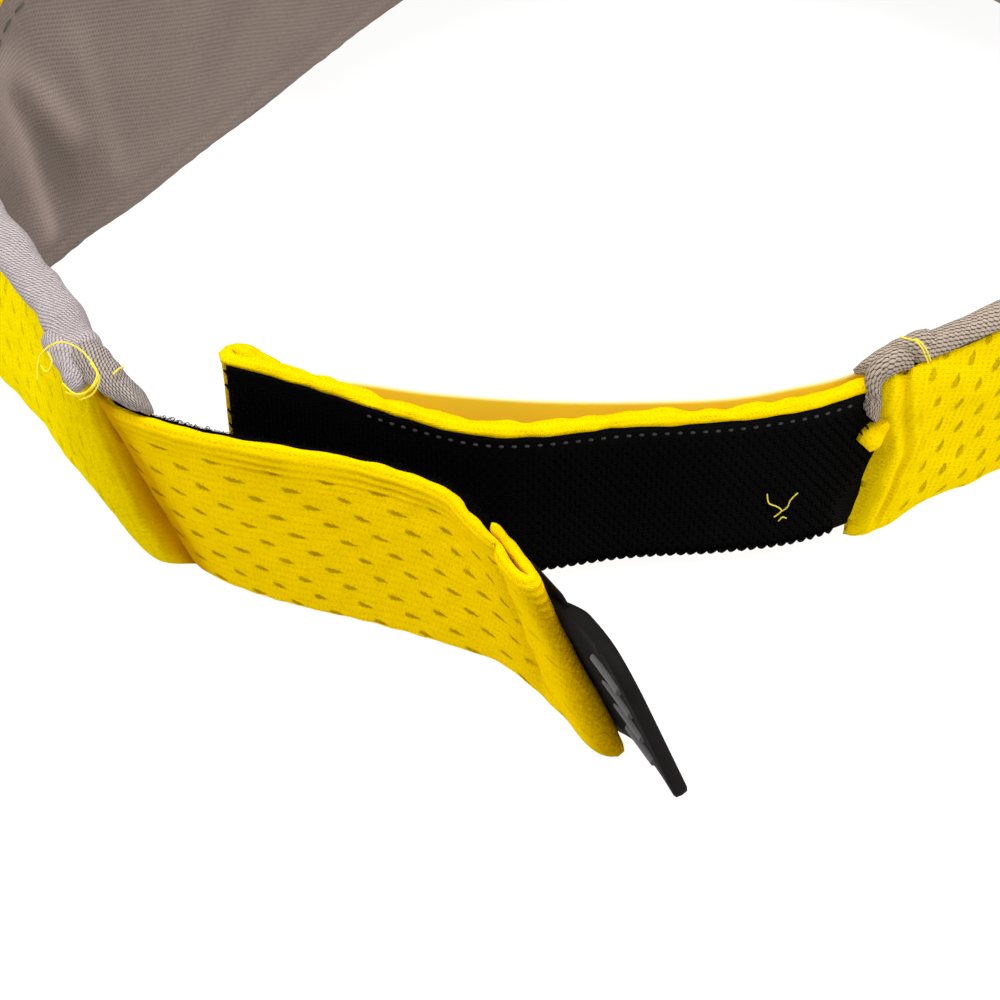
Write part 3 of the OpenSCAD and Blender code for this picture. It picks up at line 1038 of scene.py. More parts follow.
class GeoTree(NodeTree):
    """A Geometry Nodes tree with named inputs, which ends in plain geometry with one finish."""

    BOW_FINE = 7

    def __init__(self, name: str, inputs: Mapping[str, float | int]) -> None:
        """Starts the tree.

        Args:
            name: The tree's name.
            inputs: Its number inputs and their usual values.
        """
        super().__init__(bpy.data.node_groups.new(name, "GeometryNodeTree"))
        face = self.tree.interface
        face.new_socket("Geometry", in_out="INPUT", socket_type="NodeSocketGeometry")
        face.new_socket("Finish", in_out="INPUT", socket_type="NodeSocketMaterial")
        for label, value in inputs.items():
            kind = "NodeSocketInt" if isinstance(value, int) else "NodeSocketFloat"
            face.new_socket(label, in_out="INPUT", socket_type=kind).default_value = value
        face.new_socket("Geometry", in_out="OUTPUT", socket_type="NodeSocketGeometry")
        self.given = self.tree.nodes.new("NodeGroupInput").outputs

    def close(self, geometry: Socket) -> None:
        """Realizes the geometry, gives it the finish and ends the tree.

        Args:
            geometry: All that the tree has made.
        """
        plain = self.add("GeometryNodeRealizeInstances", None, {0: geometry})[0]
        inputs = {"Geometry": plain, "Material": self.given["Finish"]}
        whole = self.add("GeometryNodeSetMaterial", None, inputs)[0]
        smooth = self.add("GeometryNodeSetShadeSmooth", None, {0: whole})[0]
        self.add("NodeGroupOutput", None, {0: smooth})

    def spread(self, **inputs: Socket) -> None:
        """Puts a shape on points and ends the tree."""
        self.close(self.add("GeometryNodeInstanceOnPoints", None, inputs)[0])

    def path(self) -> Socket:
        """The guide's lines as curves."""
        return self.add("GeometryNodeMeshToCurve", None, {0: self.given["Geometry"]})[0]

    def vector(self, inputs: Mapping[int, Socket]) -> Socket:
        """A vector from numbers."""
        return self.add("ShaderNodeCombineXYZ", None, inputs)[0]

    def turned(self, axis: str, way: Socket, **inputs: Socket) -> Socket:
        """A turn of one axis towards a way, after another turn if one is given.

        Args:
            axis: The axis that turns.
            way: Where it turns to.
            **inputs: The turn before, as Rotation, which keeps its upright axis.

        Returns:
            The turn.
        """
        settings = {"axis": axis, **({"pivot_axis": "Z"} if inputs else {})}
        return self.add("FunctionNodeAlignRotationToVector", settings, {**inputs, "Vector": way})[0]

    def tube(self, curve: Socket, sides: int) -> Socket:
        """A round tube of the tree's own thickness.

        Args:
            curve: The line along its middle.
            sides: Number of its sides.

        Returns:
            The tube.
        """
        half = self.add("ShaderNodeMath", {"operation": "MULTIPLY"}, {0: self.given["Thickness"], 1: 0.5})[0]
        ring = self.add("GeometryNodeCurvePrimitiveCircle", None, {"Resolution": sides, "Radius": half})[0]
        return self.add("GeometryNodeCurveToMesh", None, {0: curve, 1: ring, "Fill Caps": True})[0]

    def bow(self, *corners: Triple) -> Socket:
        """A bent line.

        Args:
            *corners: Its start, two handles and its end, in millimetres.

        Returns:
            The curve.
        """
        names = ("Start", "Start Handle", "End Handle", "End")
        places = {name: [x * MM for x in corner] for name, corner in zip(names, corners)}
        places["Resolution"] = self.BOW_FINE
        return self.add("GeometryNodeCurvePrimitiveBezierSegment", None, places)[0]

    def run(
        self, guide: Object, name: str, finish: Finish, hold: Hold, *nodes: str, **values: float,
    ) -> Object:
        """Runs the tree on a guide, which it uses up.

        Args:
            guide: The lines, points or face that the tree works on.
            name: The new piece's name.
            finish: What the piece is made of.
            hold: What it moves with.
            *nodes: The solids that it replaces.
            **values: The tree's inputs.

        Returns:
            The new piece, a plain mesh.
        """
        modifier = guide.modifiers.new(name, "NODES")
        modifier.node_group = self.tree
        wanted = {"Finish": finish.material(), **values}
        for item in self.tree.interface.items_tree:
            if item.in_out == "INPUT" and item.name in wanted:
                modifier[item.identifier] = wanted[item.name]
        ready = guide.evaluated_get(bpy.context.evaluated_depsgraph_get())
        data = bpy.data.meshes.new_from_object(ready)
        guide.modifiers.remove(modifier)
        bpy.data.objects.remove(guide)
        data.name = name
        return hold.take(shown(name, data, finish), finish, *nodes)


def guide_mesh(places: Array, edges: Sequence[Any] = (), faces: Sequence[Any] = ()) -> Object:
    """A guide for a tree.

    Args:
        places: Its points, in millimetres.
        edges: Pairs of points.
        faces: Rings of points.

    Returns:
        The guide.
    """
    data = bpy.data.meshes.new("guide")
    data.from_pydata((np.asarray(places) * MM).tolist(), edges, faces)
    return linked("guide", data)


def guide_lines(lines: Sequence[Array]) -> Object:
    """A guide of open lines.

    Args:
        lines: The points of each line, in millimetres.

    Returns:
        The guide.
    """
    edges, first = [], 0
    for line in lines:
        edges += [(first + k, first + k + 1) for k in range(len(line) - 1)]
        first += len(line)
    return guide_mesh(np.vstack(lines), edges)


def guide_points(points: Array, facing: Array, along: Array) -> Object:
    """A guide of loose points that know their ways.

    Args:
        points: The points, in millimetres.
        facing: Their outward ways.
        along: Their forward ways.

    Returns:
        The guide.
    """
    guide = guide_mesh(points)
    for name, ways in (("facing", facing), ("along", along)):
        rows = guide.data.attributes.new(name, "FLOAT_VECTOR", "POINT").data
        rows.foreach_set("vector", ways.astype(np.float32).ravel())
    return guide


def guide_face(grid: Array) -> Object:
    """An open guide whose faces look to the right of its rows.

    Args:
        grid: Its rows of points, in millimetres.

    Returns:
        The guide.
    """
    n, m = grid.shape[:2]
    i, j = (x.ravel() for x in np.meshgrid(np.arange(n - 1), np.arange(m - 1), indexing="ij"))
    quads = np.stack([i * m + j, (i + 1) * m + j, (i + 1) * m + j + 1, i * m + j + 1], 1)
    return guide_mesh(grid.reshape(-1, 3), [], quads.tolist())


class StitchTree(GeoTree):
    """Stitches along lines."""

    def __init__(self) -> None:
        """Builds the tree."""
        super().__init__("stitch_rows", {"Pitch": 3.0 * MM, "Length": 2.2 * MM, "Thickness": 0.45 * MM})
        inputs = {0: self.path(), "Length": self.given["Pitch"]}
        spots = self.add("GeometryNodeCurveToPoints", {"mode": "LENGTH"}, inputs)
        ball = self.add("GeometryNodeMeshUVSphere", None, {"Segments": 8, "Rings": 6, "Radius": 0.5})[0]
        thick = self.given["Thickness"]
        size = self.vector({0: self.given["Length"], 1: thick, 2: thick})
        turn = self.turned("X", spots["Tangent"])
        self.spread(Points=spots["Points"], Instance=ball, Rotation=turn, Scale=size)


class ThreadTree(GeoTree):
    """Thread along lines."""

    def __init__(self) -> None:
        """Builds the tree."""
        super().__init__("thread_runs", {"Thickness": 0.3 * MM})
        self.close(self.tube(self.path(), 6))


class Part(Enum):
    """What a field of points carries."""

    HOOK = "hook"
    RIB = "rib"


class FieldTree(GeoTree):
    """A field of hooks or ribs on points that know their ways."""

    HOOK_BOW = ((0, 0, 0), (-0.25, 0, 1.0), (0.55, 0, 1.15), (0.62, 0, 0.3))

    def __init__(self, part: Part) -> None:
        """Builds the tree.

        Args:
            part: What it puts on each point.
        """
        super().__init__(f"{part.value}_field", {"Thickness": 0.22 * MM, "Length": 8.0 * MM})
        if part is Part.HOOK:
            shape = self.tube(self.bow(*self.HOOK_BOW), 5)
        else:
            end = self.vector({0: self.given["Length"]})
            shape = self.tube(self.add("GeometryNodeCurvePrimitiveLine", None, {"End": end})[0], 12)
        facing, along = (
            self.add("GeometryNodeInputNamedAttribute", {"data_type": "FLOAT_VECTOR"}, {"Name": name})[0]
            for name in ("facing", "along"))
        turn = self.turned("X", along, Rotation=self.turned("Z", facing))
        self.spread(Points=self.given["Geometry"], Instance=shape, Rotation=turn)


class PileTree(GeoTree):
    """A pile of small loops on a face."""

    LOOP_BOW = ((-0.15, 0, 0), (-0.6, 0.2, 0.95), (0.6, -0.2, 0.95), (0.15, 0, 0))

    def __init__(self) -> None:
        """Builds the tree."""
        super().__init__("loop_pile", {"Density": 2.6e6, "Thickness": 0.13 * MM, "Size": 1.0, "Seed": 4})
        density, seed = self.given["Density"], self.given["Seed"]
        inputs = {"Mesh": self.given["Geometry"], "Density": density, "Seed": seed}
        spots = self.add("GeometryNodeDistributePointsOnFaces", None, inputs)
        spin = self.add("FunctionNodeRandomValue", {"data_type": "FLOAT"}, {"Max": TAU, "Seed": seed})
        yaw = self.add("FunctionNodeEulerToRotation", None, {0: self.vector({2: spin[1]})})[0]
        inputs = {0: spots["Rotation"], 1: yaw}
        turn = self.add("FunctionNodeRotateRotation", {"rotation_space": "LOCAL"}, inputs)[0]
        shape = self.tube(self.bow(*self.LOOP_BOW), 3)
        self.spread(Points=spots["Points"], Instance=shape, Rotation=turn, Scale=self.given["Size"])


STITCH = StitchTree()
THREAD = ThreadTree()
HOOKS = FieldTree(Part.HOOK)
RIBS = FieldTree(Part.RIB)
PILE = PileTree()


@dataclass(frozen=True)
class Cord:
    """A tapering cord of knit or cloth through points, with its half width at each."""

    name: str
    finish: Finish
    path: Path
    wide: tuple[float, ...]
    flat: float = 1.0
    step: float = 0.3
    fine: int = 14
    rough: Point = (4, 0.12)

    def build(self, hold: Hold) -> None:
        """Makes the cord, a little uneven.

        Args:
            hold: What it moves with.
        """
        line = smooth_path(np.column_stack([np.array(self.path), self.wide]), self.fine)
        way = np.gradient(line[:, :3], axis=0)
        nearly_up = np.array([0.02, 0.01, 1.0])
        side = np.cross(way, nearly_up)
        up = unit(np.cross(side, way))[:, None]
        side = unit(side)[:, None]
        round_it = TAU * max(self.wide)
        count = int(round_it / self.step)
        turn = np.linspace(0, TAU, count, endpoint=False)[None, :, None]
        half = line[:, 3][:, None, None]
        points = line[:, None, :3] + half * (np.cos(turn) * side + np.sin(turn) * self.flat * up)
        travel = np.linspace(0, round_it * (1 + self.flat) / 2, count + 1)
        patch = Patch(points, travelled(line[:, :3])[:, None], travel)
        pitch, high = self.rough
        patch.push(ripple(*patch.grid(), pitch, len(self.name)) * high)
        patch.mesh(self.name, self.finish, hold)


@dataclass(frozen=True)
class SideStrap:
    """A padded side strap: mesh outside, foam, and a knit lining rolled over the top edge."""

    name: str
    side: int
    lead: tuple[Rib, ...]
    ribs: tuple[Rib, ...]
    bend: tuple[Triple, Triple]
    mouth: tuple[Point, ...]
    roll_top: float
    roll_end: float
    mesh: Finish
    knit: Finish
    cords: tuple[Cord, ...]
    threads: tuple[Path, ...]
    lip: float = 4.6
    lip_base: float = 0.75
    flare: float = 0.0
    # Strength of the painted shade in the crease at the mouth.
    shade_strength: float = 0.9
    gather: float = 1.6
    gather_high: float = 0.2
    gather_fade: float = 6.0
    gather_wander: Layer = (9, 3, 0.7)
    uneven: tuple[Layer, ...] = ((13, 5, 0.22), (5, 6, 0.08))
    settle: float = 12.0
    puff: Triple = (0.15, 2.2, 4.0)  # share of the thickness, place past the lip, width
    # Painted shade along the crease at the mouth.
    crease: Triple = (0.6, 1.5, 0.6)  # strength, reach of its soft part, of its sharp part
    swell: float = 0.0
    roll_half: float = 3.1
    groove: float = 0.0
    groove_at: Point = (3.3, 1.7)
    # Painted shade that darkens the mesh towards the mouth, between the lengths of its span.
    dim_shade: float = 0.0
    dim_shade_span: Point = (30, 9)
    plain_span: Point = (9, 4)
    fine: float = 0.36
    foam_fine: float = 1.5
    foam_ends: Point = (5, 9)
    roll_start: float = 2.2
    roll_rise: Point = (28.5, 30)
    back: float = 1.05
    lead_rows: Point = (1.6, 3.8)
    lead_shares: Point = (0.06, 0.88)
    lead_high: float = 3.0

    @cached_property
    def band(self) -> Ribbon:
        """The strap's ribbon, which starts with its lead on the front panel."""
        return Ribbon((*self.lead, *self.ribs), self.side)

    @property
    def hold(self) -> Hold:
        """The strap's own body."""
        return Hold(f"{self.name}_strap")

    def build(self) -> None:
        """Makes the strap's pieces."""
        self.shell()
        self.padding()
        self.seams()
        for cord in self.cords:
            cord.build(self.hold)

    def shell(self) -> None:
        """The puffy mesh, whose end rolls in at the mouth, with painted shade in its crease and groove,
        darker towards the mouth.
        """
        band = self.band
        more = self.swell
        loop = Loop.through(
            [(0.0, 1.0), (0.1, 2.4 + more), (1.5, 3.5 + more), (8, 3.9 + more), (16, 3.8 + more * 0.6),
             (24.5, 3.3), (28.4, 2.6), (29.6, 1.5), (28.9, 0.95), (17, 0.95), (2, 0.95), (0.3, 0.95)],
            SIDE_HEIGHT, self.fine)
        reach = np.interp(loop.share, *zip(*self.mouth))
        patch = band.swept(loop, (0, band.length), self.fine, (0.6, 0), reach)
        s, v = patch.grid()
        left = s[-1:] - s
        outer = loop.offset > self.back
        lip = self.lip * (1 + self.flare * hump(loop.share, 0.75, 0.2))
        share, past, width = self.puff
        puffed = loop.offset * (1 + share * hump(left, self.lip + past, width))
        rolled = self.lip_base + (puffed - self.lip_base) * quarter(left / lip)
        patch.points = band.points(s, loop.share, np.where(outer, rolled, loop.offset))
        on_strap = ease(0, self.settle, s - band.mark(len(self.lead)))
        wander = rough(s, v, self.gather_wander)
        gather = np.cos(left * TAU / self.gather + wander) * np.exp(-left / self.gather_fade)
        gather = gather * ease(0.3, 1.2, left) * ease(0.02, 0.2, loop.share)
        uneven = rough(s, v, *self.uneven)
        valley, crest = self.groove_at
        rim = (hump(left, valley, 0.75) - 0.6 * hump(left, crest, 0.9)) * ease(0.0, 0.15, loop.share)
        patch.push(np.where(outer, (uneven + gather * self.gather_high) * on_strap - rim * self.groove, 0))
        # Painted shade: in the crease at the mouth, stronger lower down and weaker on the gathers' crests, in
        # the groove, and darker towards the mouth.
        low = 0.7 + 0.3 * ease(0.9, 0.3, loop.share)
        strength, soft, sharp = self.crease
        crease = strength * np.exp(-((left / soft) ** 1.4)) + strength * np.exp(-left / sharp)
        patch.marks["shade"] = crease * low * self.shade_strength * (1 - 0.55 * gather)
        patch.marks["shade"] += np.maximum(rim, 0) * self.groove * 0.5 * outer
        patch.marks["dim_shade"] = self.dim_shade * ease(*self.dim_shade_span, left) * outer
        patch.marks["plain"] = ease(*self.plain_span, left)
        hold = Hold("front", f"{self.name}_strap", self.bend)
        piece = patch.mesh(f"{self.name}_strap_mesh", self.mesh, hold, f"{self.name}_strap_shell")

    def padding(self) -> None:
        """The foam, and the knit lining with its roll along the top, which sinks towards the mouth."""
        band = self.band
        start = band.mark(len(self.lead))
        loop = Loop.through(
            [(2, -0.8), (2, 0.8), (15, 0.85), (28, 0.8), (28.5, 0), (28, -0.8), (15, -0.85)], SIDE_HEIGHT,
            self.foam_fine)
        first, last = start + self.foam_ends[0], band.length - self.foam_ends[1]
        patch = band.swept(loop, (first, last), self.foam_fine, (0.8, 0.8))
        piece = patch.mesh(f"{self.name}_strap_foam", FOAM, self.hold, f"{self.name}_strap_padding")
        top, half = self.roll_top, self.roll_half
        loop = Loop.through(
            [(0.2, -1.0), (0.1, -1.6), (2.5, -2.2), (17, -2.3), (26, -2.5), (29.5, -half), (top - 1.6, -half),
             (top - 0.2, 0.8 - half), (top, 0.0), (top - 0.3, half - 1), (top - 1.5, half),
             (29.9, half - 0.3), (29.4, 1.6), (29.2, 0.3), (28.6, -0.85), (17, -0.95), (2, -0.95)],
            SIDE_HEIGHT, self.fine)
        span = (start + self.roll_start, band.length - self.roll_end)
        patch = band.swept(loop, span, self.fine, (2.2, 2.6))
        s, v = patch.grid()
        rolled = ease(*(height / SIDE_HEIGHT for height in self.roll_rise), loop.share)
        patch.push(ripple(s, v, 11, 8) * 0.2 * rolled + ripple(s, v, 6, 9) * 0.1)
        piece = patch.mesh(f"{self.name}_strap_knit", self.knit, self.hold, f"{self.name}_strap_lining")

    def seams(self) -> None:
        """Stitches that hold the strap's lead on the front panel, and loose thread ends at the mouth."""
        band = self.band
        share = np.linspace(*self.lead_shares, 12)
        lines = guide_lines([band.points(s, share, self.lead_high) for s in self.lead_rows])
        STITCH.run(lines, f"{self.name}_lead_stitches", YELLOW_THREAD, FRONT)
        lines = guide_lines([smooth_path(np.array(path), 8) for path in self.threads])
        THREAD.run(lines, f"{self.name}_loose_threads", YELLOW_THREAD, self.hold, Thickness=0.26 * MM)


@dataclass(frozen=True)
class PeelTab:
    """The tab on the left strap: folded mesh, loop tape on its inner face, and a hem turned in at its end."""

    ribs: tuple[Rib, ...]
    bend: tuple[Triple, Triple]
    hem: float = 11.5
    turned: float = 14.0
    slope: Point = (2.2, -0.4)
    ridge_top: float = 26.3
    ridge_pitch: float = 1.25
    ridge_high: float = 0.16
    ridge_rise: Point = (21.6, 23.6)
    ridge_fall: Point = (27.2, 26.4)
    dimple: Triple = (0.6, 1.1, 0.6)  # place past the turned-in end, width, depth
    blunt: Triple = (3.6, 3.0, 0.9)  # distance from the end, width, height
    uneven: tuple[Layer, ...] = ((12, 23, 0.14), (3.4, 24, 0.05))
    # Painted shade at the hem's nose and beside its valley.
    nose_shade: Point = (0.7, 0.13)  # at the nose, beside the valley
    fringe: Point = (4.4e7, 0.26)  # loops in a square metre, their size
    fringe_seed: int = 9
    fine: float = 0.32
    tape_fine: float = 0.5
    tape_top: float = 27.1
    fringe_height: float = 26.7

    @cached_property
    def band(self) -> Ribbon:
        """The tab's ribbon."""
        return Ribbon(self.ribs, 1)

    @property
    def hold(self) -> Hold:
        """The tab's hold: the strap's body, the tab's body and a bend line."""
        return Hold("left_strap", "tab", self.bend)

    def build(self) -> None:
        """Makes the tab's pieces."""
        self.mesh()
        self.tape()
        self.flange()

    def mesh(self) -> None:
        """The folded mesh with a rolled, ridged top edge, turned back as a hem at its end."""
        band = self.band
        loop = Loop.through(
            [(0.0, -0.3), (0.0, 0.3), (0.5, 0.7), (13, 0.75), (24, 0.75), (25.6, 1.0), (26.8, 0.95),
             (27.5, 0.3), (27.3, -0.5), (26, -0.75), (13, -0.75), (0.5, -0.7)], CLOSURE_HEIGHT, self.fine)
        end = band.length
        path = [(0, 0), (12, 0), (24, 0), (36, 0), (48, 0), (end - 15, 0), (end - 11, 0), (end - 8.2, 0.35),
                (end - 5.4, 0.55), (end - 3.2, 0.35), (end - 1.9, -0.3), (end - 2.6, -0.9),
                (end - 4.8, -1.08), (end - 7.5, -1.25), (end - self.hem, -1.45), (end - self.turned, -1.5)]
        patch = band.folded(loop, path, self.fine, (0.5, 0.5))
        s, v = patch.grid()
        share, height = loop.share, loop.share * CLOSURE_HEIGHT
        low, top = self.slope
        shift = ease(end - 12, end - 3, s) * (low + (top - low) * share)
        patch.points += shift[..., None] * band.ahead
        # Relief of the outer face: ridges under the top edge, the hem's valley and its blunt lower end.
        outer = (loop.offset > 0) & (s < end - 1)
        wave = np.cos((height - self.ridge_top) * TAU / self.ridge_pitch)
        ridge = wave * ease(*self.ridge_rise, height) * ease(*self.ridge_fall, height)
        ridge = ridge * (0.8 + 0.4 * ripple(s, v, 9, 21))
        edge = ease(25.5, 27, height) * ripple(s, 0 * v, 5, 22) * 0.1
        past, width, deep = self.dimple
        valley = end - self.hem + past
        dimple = -hump(s, valley, width) * deep * ease(0.0, 0.25, share)
        before, width, high = self.blunt
        blunt = hump(s, end - before, width) * ease(0.7, 0.0, share) * high
        uneven = rough(s, v, *self.uneven)
        patch.push(np.where(outer, ridge * self.ridge_high + uneven + dimple + blunt, 0) + edge)
        # Painted shade at the strap's mouth, in the grooves and the valley, on the layer that is turned in,
        # at the hem's nose and beside the valley.
        seam = np.exp(-np.maximum(s - band.mark(1), 0) / 1.6) * 0.75 * (loop.offset > 0)
        groove = ease(0.2, 1.0, -ridge) * 0.16 + hump(s, valley, 0.5) * ease(0.02, 0.3, share) * 0.3
        turned = ease(end + 4, end + 7, s) * ease(s.max() + 1, s.max() - 4, s)
        patch.marks["shade"] = seam + groove * outer + 0.2 * turned
        beside = ease(valley - 7, valley - 0.5, s) * ease(valley + 0.5, valley - 0.3, s) * outer
        nose = hump(s, end - 0.6, 3.0) * (loop.offset > 0) * ease(1.0, 0.8, share)
        patch.marks["dim_shade"] = self.nose_shade[0] * nose + self.nose_shade[1] * beside
        hemmed = 0.6 * ease(valley - 1.5, valley, s) + 0.4 * ease(end - 5, end - 2, s)
        patch.marks["plain"] = np.maximum(ease(23, 25, height), hemmed)
        patch.mesh("tab_mesh", TAB_MESH, self.hold, "tab_shell_root", "tab_shell_end")

    def tape(self) -> None:
        """The loop tape, its pile, and the fringe along its top edge."""
        band = self.band
        top = self.tape_top
        loop = Loop.through(
            [(1.0, -0.8), (1.0, -TAPE_BACK), (14, -TAPE_BACK), (top, -TAPE_BACK), (top, -0.8), (14, -0.78)],
            CLOSURE_HEIGHT, self.tape_fine)
        span = (3.0, band.length - self.turned - 0.6)
        patch = band.swept(loop, span, self.tape_fine)
        patch.mesh("tab_loop_tape", LOOP_WEAVE, self.hold, "loop_tape_root", "loop_tape_end")
        s = np.linspace(*span, 120)[:, None]
        share = np.linspace(1.1, 26.9, 30) / CLOSURE_HEIGHT
        face = guide_face(band.points(s, share, -TAPE_BACK)[:, ::-1])
        PILE.run(face, "tab_loop_pile", LOOP_PILE, self.hold)
        offset = np.linspace(-0.7, -1.9, 4)
        rim = guide_face(band.points(s, self.fringe_height / CLOSURE_HEIGHT, offset)[:, ::-1])
        density, size = self.fringe
        values = {"Density": density, "Size": size, "Seed": self.fringe_seed}
        PILE.run(rim, "tab_loop_fringe", LOOP_PILE, self.hold, **values)

    def flange(self) -> None:
        """The pull's root, sewn in behind the hem."""
        band = self.band
        fine = 0.7
        loop = Loop.through([(2.5, -2.6), (2.5, -3.3), (14, -3.35), (24.5, -3.3), (24.5, -2.6), (14, -2.55)],
                            CLOSURE_HEIGHT, fine)
        patch = band.swept(loop, (band.length - self.hem + 3, band.length), fine, (0.4, 0.4))
        patch.mesh("pull_root", PULL_RUBBER, TAB, "pull_tab_flange")


@dataclass(frozen=True)
class PullTab:
    """The rubber pull: a flap with a rounded tip and raised ribs."""

    foot: Triple = (8.3, -92.7, 1.9)
    head: Triple = (-0.7, -91.2, 25.0)
    ahead: Triple = (0.443, -0.897, 0.0)
    length: float = 13.4
    width: float = 23.0
    thick: float = 2.0
    skew: float = -0.14
    root: float = -4.5
    tips: Point = (1.6, 6.0)
    bulge: float = 0.35
    tuck: float = 1.6
    bend: Point = (-1.5, 2.5)
    levels: tuple[Point, ...] = (
        (-1, 0.0), (-1, 0.96), (-0.8, 0.99), (0, 1.0), (0.8, 0.99), (1, 0.96), (1, 0.0))
    fine: int = 16
    ribs: int = 4
    rib_start: float = 3.0
    rib_margins: Point = (4.5, 10)
    rib_size: Point = (7, 1.3)

    def place(self, u: Array, w: Array, n: Array) -> Array:
        """Points of the pull.

        Args:
            u: Lengths along the pull.
            w: Lengths up the hem.
            n: Lengths out of its outer face.

        Returns:
            The points, in millimetres.
        """
        up = unit(np.subtract(self.head, self.foot))
        out = unit(np.cross(self.ahead, up))
        along = np.cross(up, out)
        u, w, n = np.broadcast_arrays(u, w, n)
        bulge = self.bulge * np.sin(np.clip(u / self.length, 0, 1) * TAU / 2)
        n = n - bulge + self.tuck * ease(2.0, self.root, u)
        return np.array(self.foot) + u[..., None] * along + w[..., None] * up + n[..., None] * out

    def build(self) -> None:
        """Makes the flap and its ribs."""
        half = self.thick / 2
        turn = np.radians(np.linspace(-90, 0, 9))
        small, large = self.tips
        low, high = self.length - small, self.length - large
        outline = np.vstack([
            np.stack([np.linspace(self.root, low, self.fine), np.zeros(self.fine)], 1),
            np.stack([low + small * np.cos(turn), small + small * np.sin(turn)], 1),
            np.stack([high + large * np.cos(turn), self.width - large - large * np.sin(turn)], 1)[::-1],
            np.stack([np.linspace(high, self.root, self.fine), np.full(self.fine, self.width)], 1)])
        centre = np.array([self.length * 0.45, self.width / 2])
        rows = []
        for level, share in self.levels:
            u, w = (centre + (outline - centre) * share).T
            rows.append(self.place(u, w + self.skew * np.maximum(u, 0), level * half))
        points = np.stack(rows)
        patch = Patch(points, np.arange(len(rows))[:, None], np.arange(points.shape[1] + 1.0))
        way = tuple(tuple(self.place(u, 0.0, 0.0).tolist()) for u in self.bend)
        patch.mesh("pull_flap", PULL_RUBBER, Hold("tab", "pull", way), "pull_tab")
        first, both = self.rib_margins
        w = first + np.arange(self.ribs) * (self.width - both) / (self.ribs - 1)
        start = self.rib_start
        starts = self.place(start, w + start * self.skew, half)
        ends = self.place(start + 1, w + (start + 1) * self.skew, half)
        outs = self.place(start, w + start * self.skew, half + 1) - starts
        spots = guide_points(starts, outs, ends - starts)
        long, thick = (size * MM for size in self.rib_size)
        RIBS.run(spots, "pull_ribs", GRIP_RUBBER, PULL, "pull_tab_ribs", Thickness=thick, Length=long)


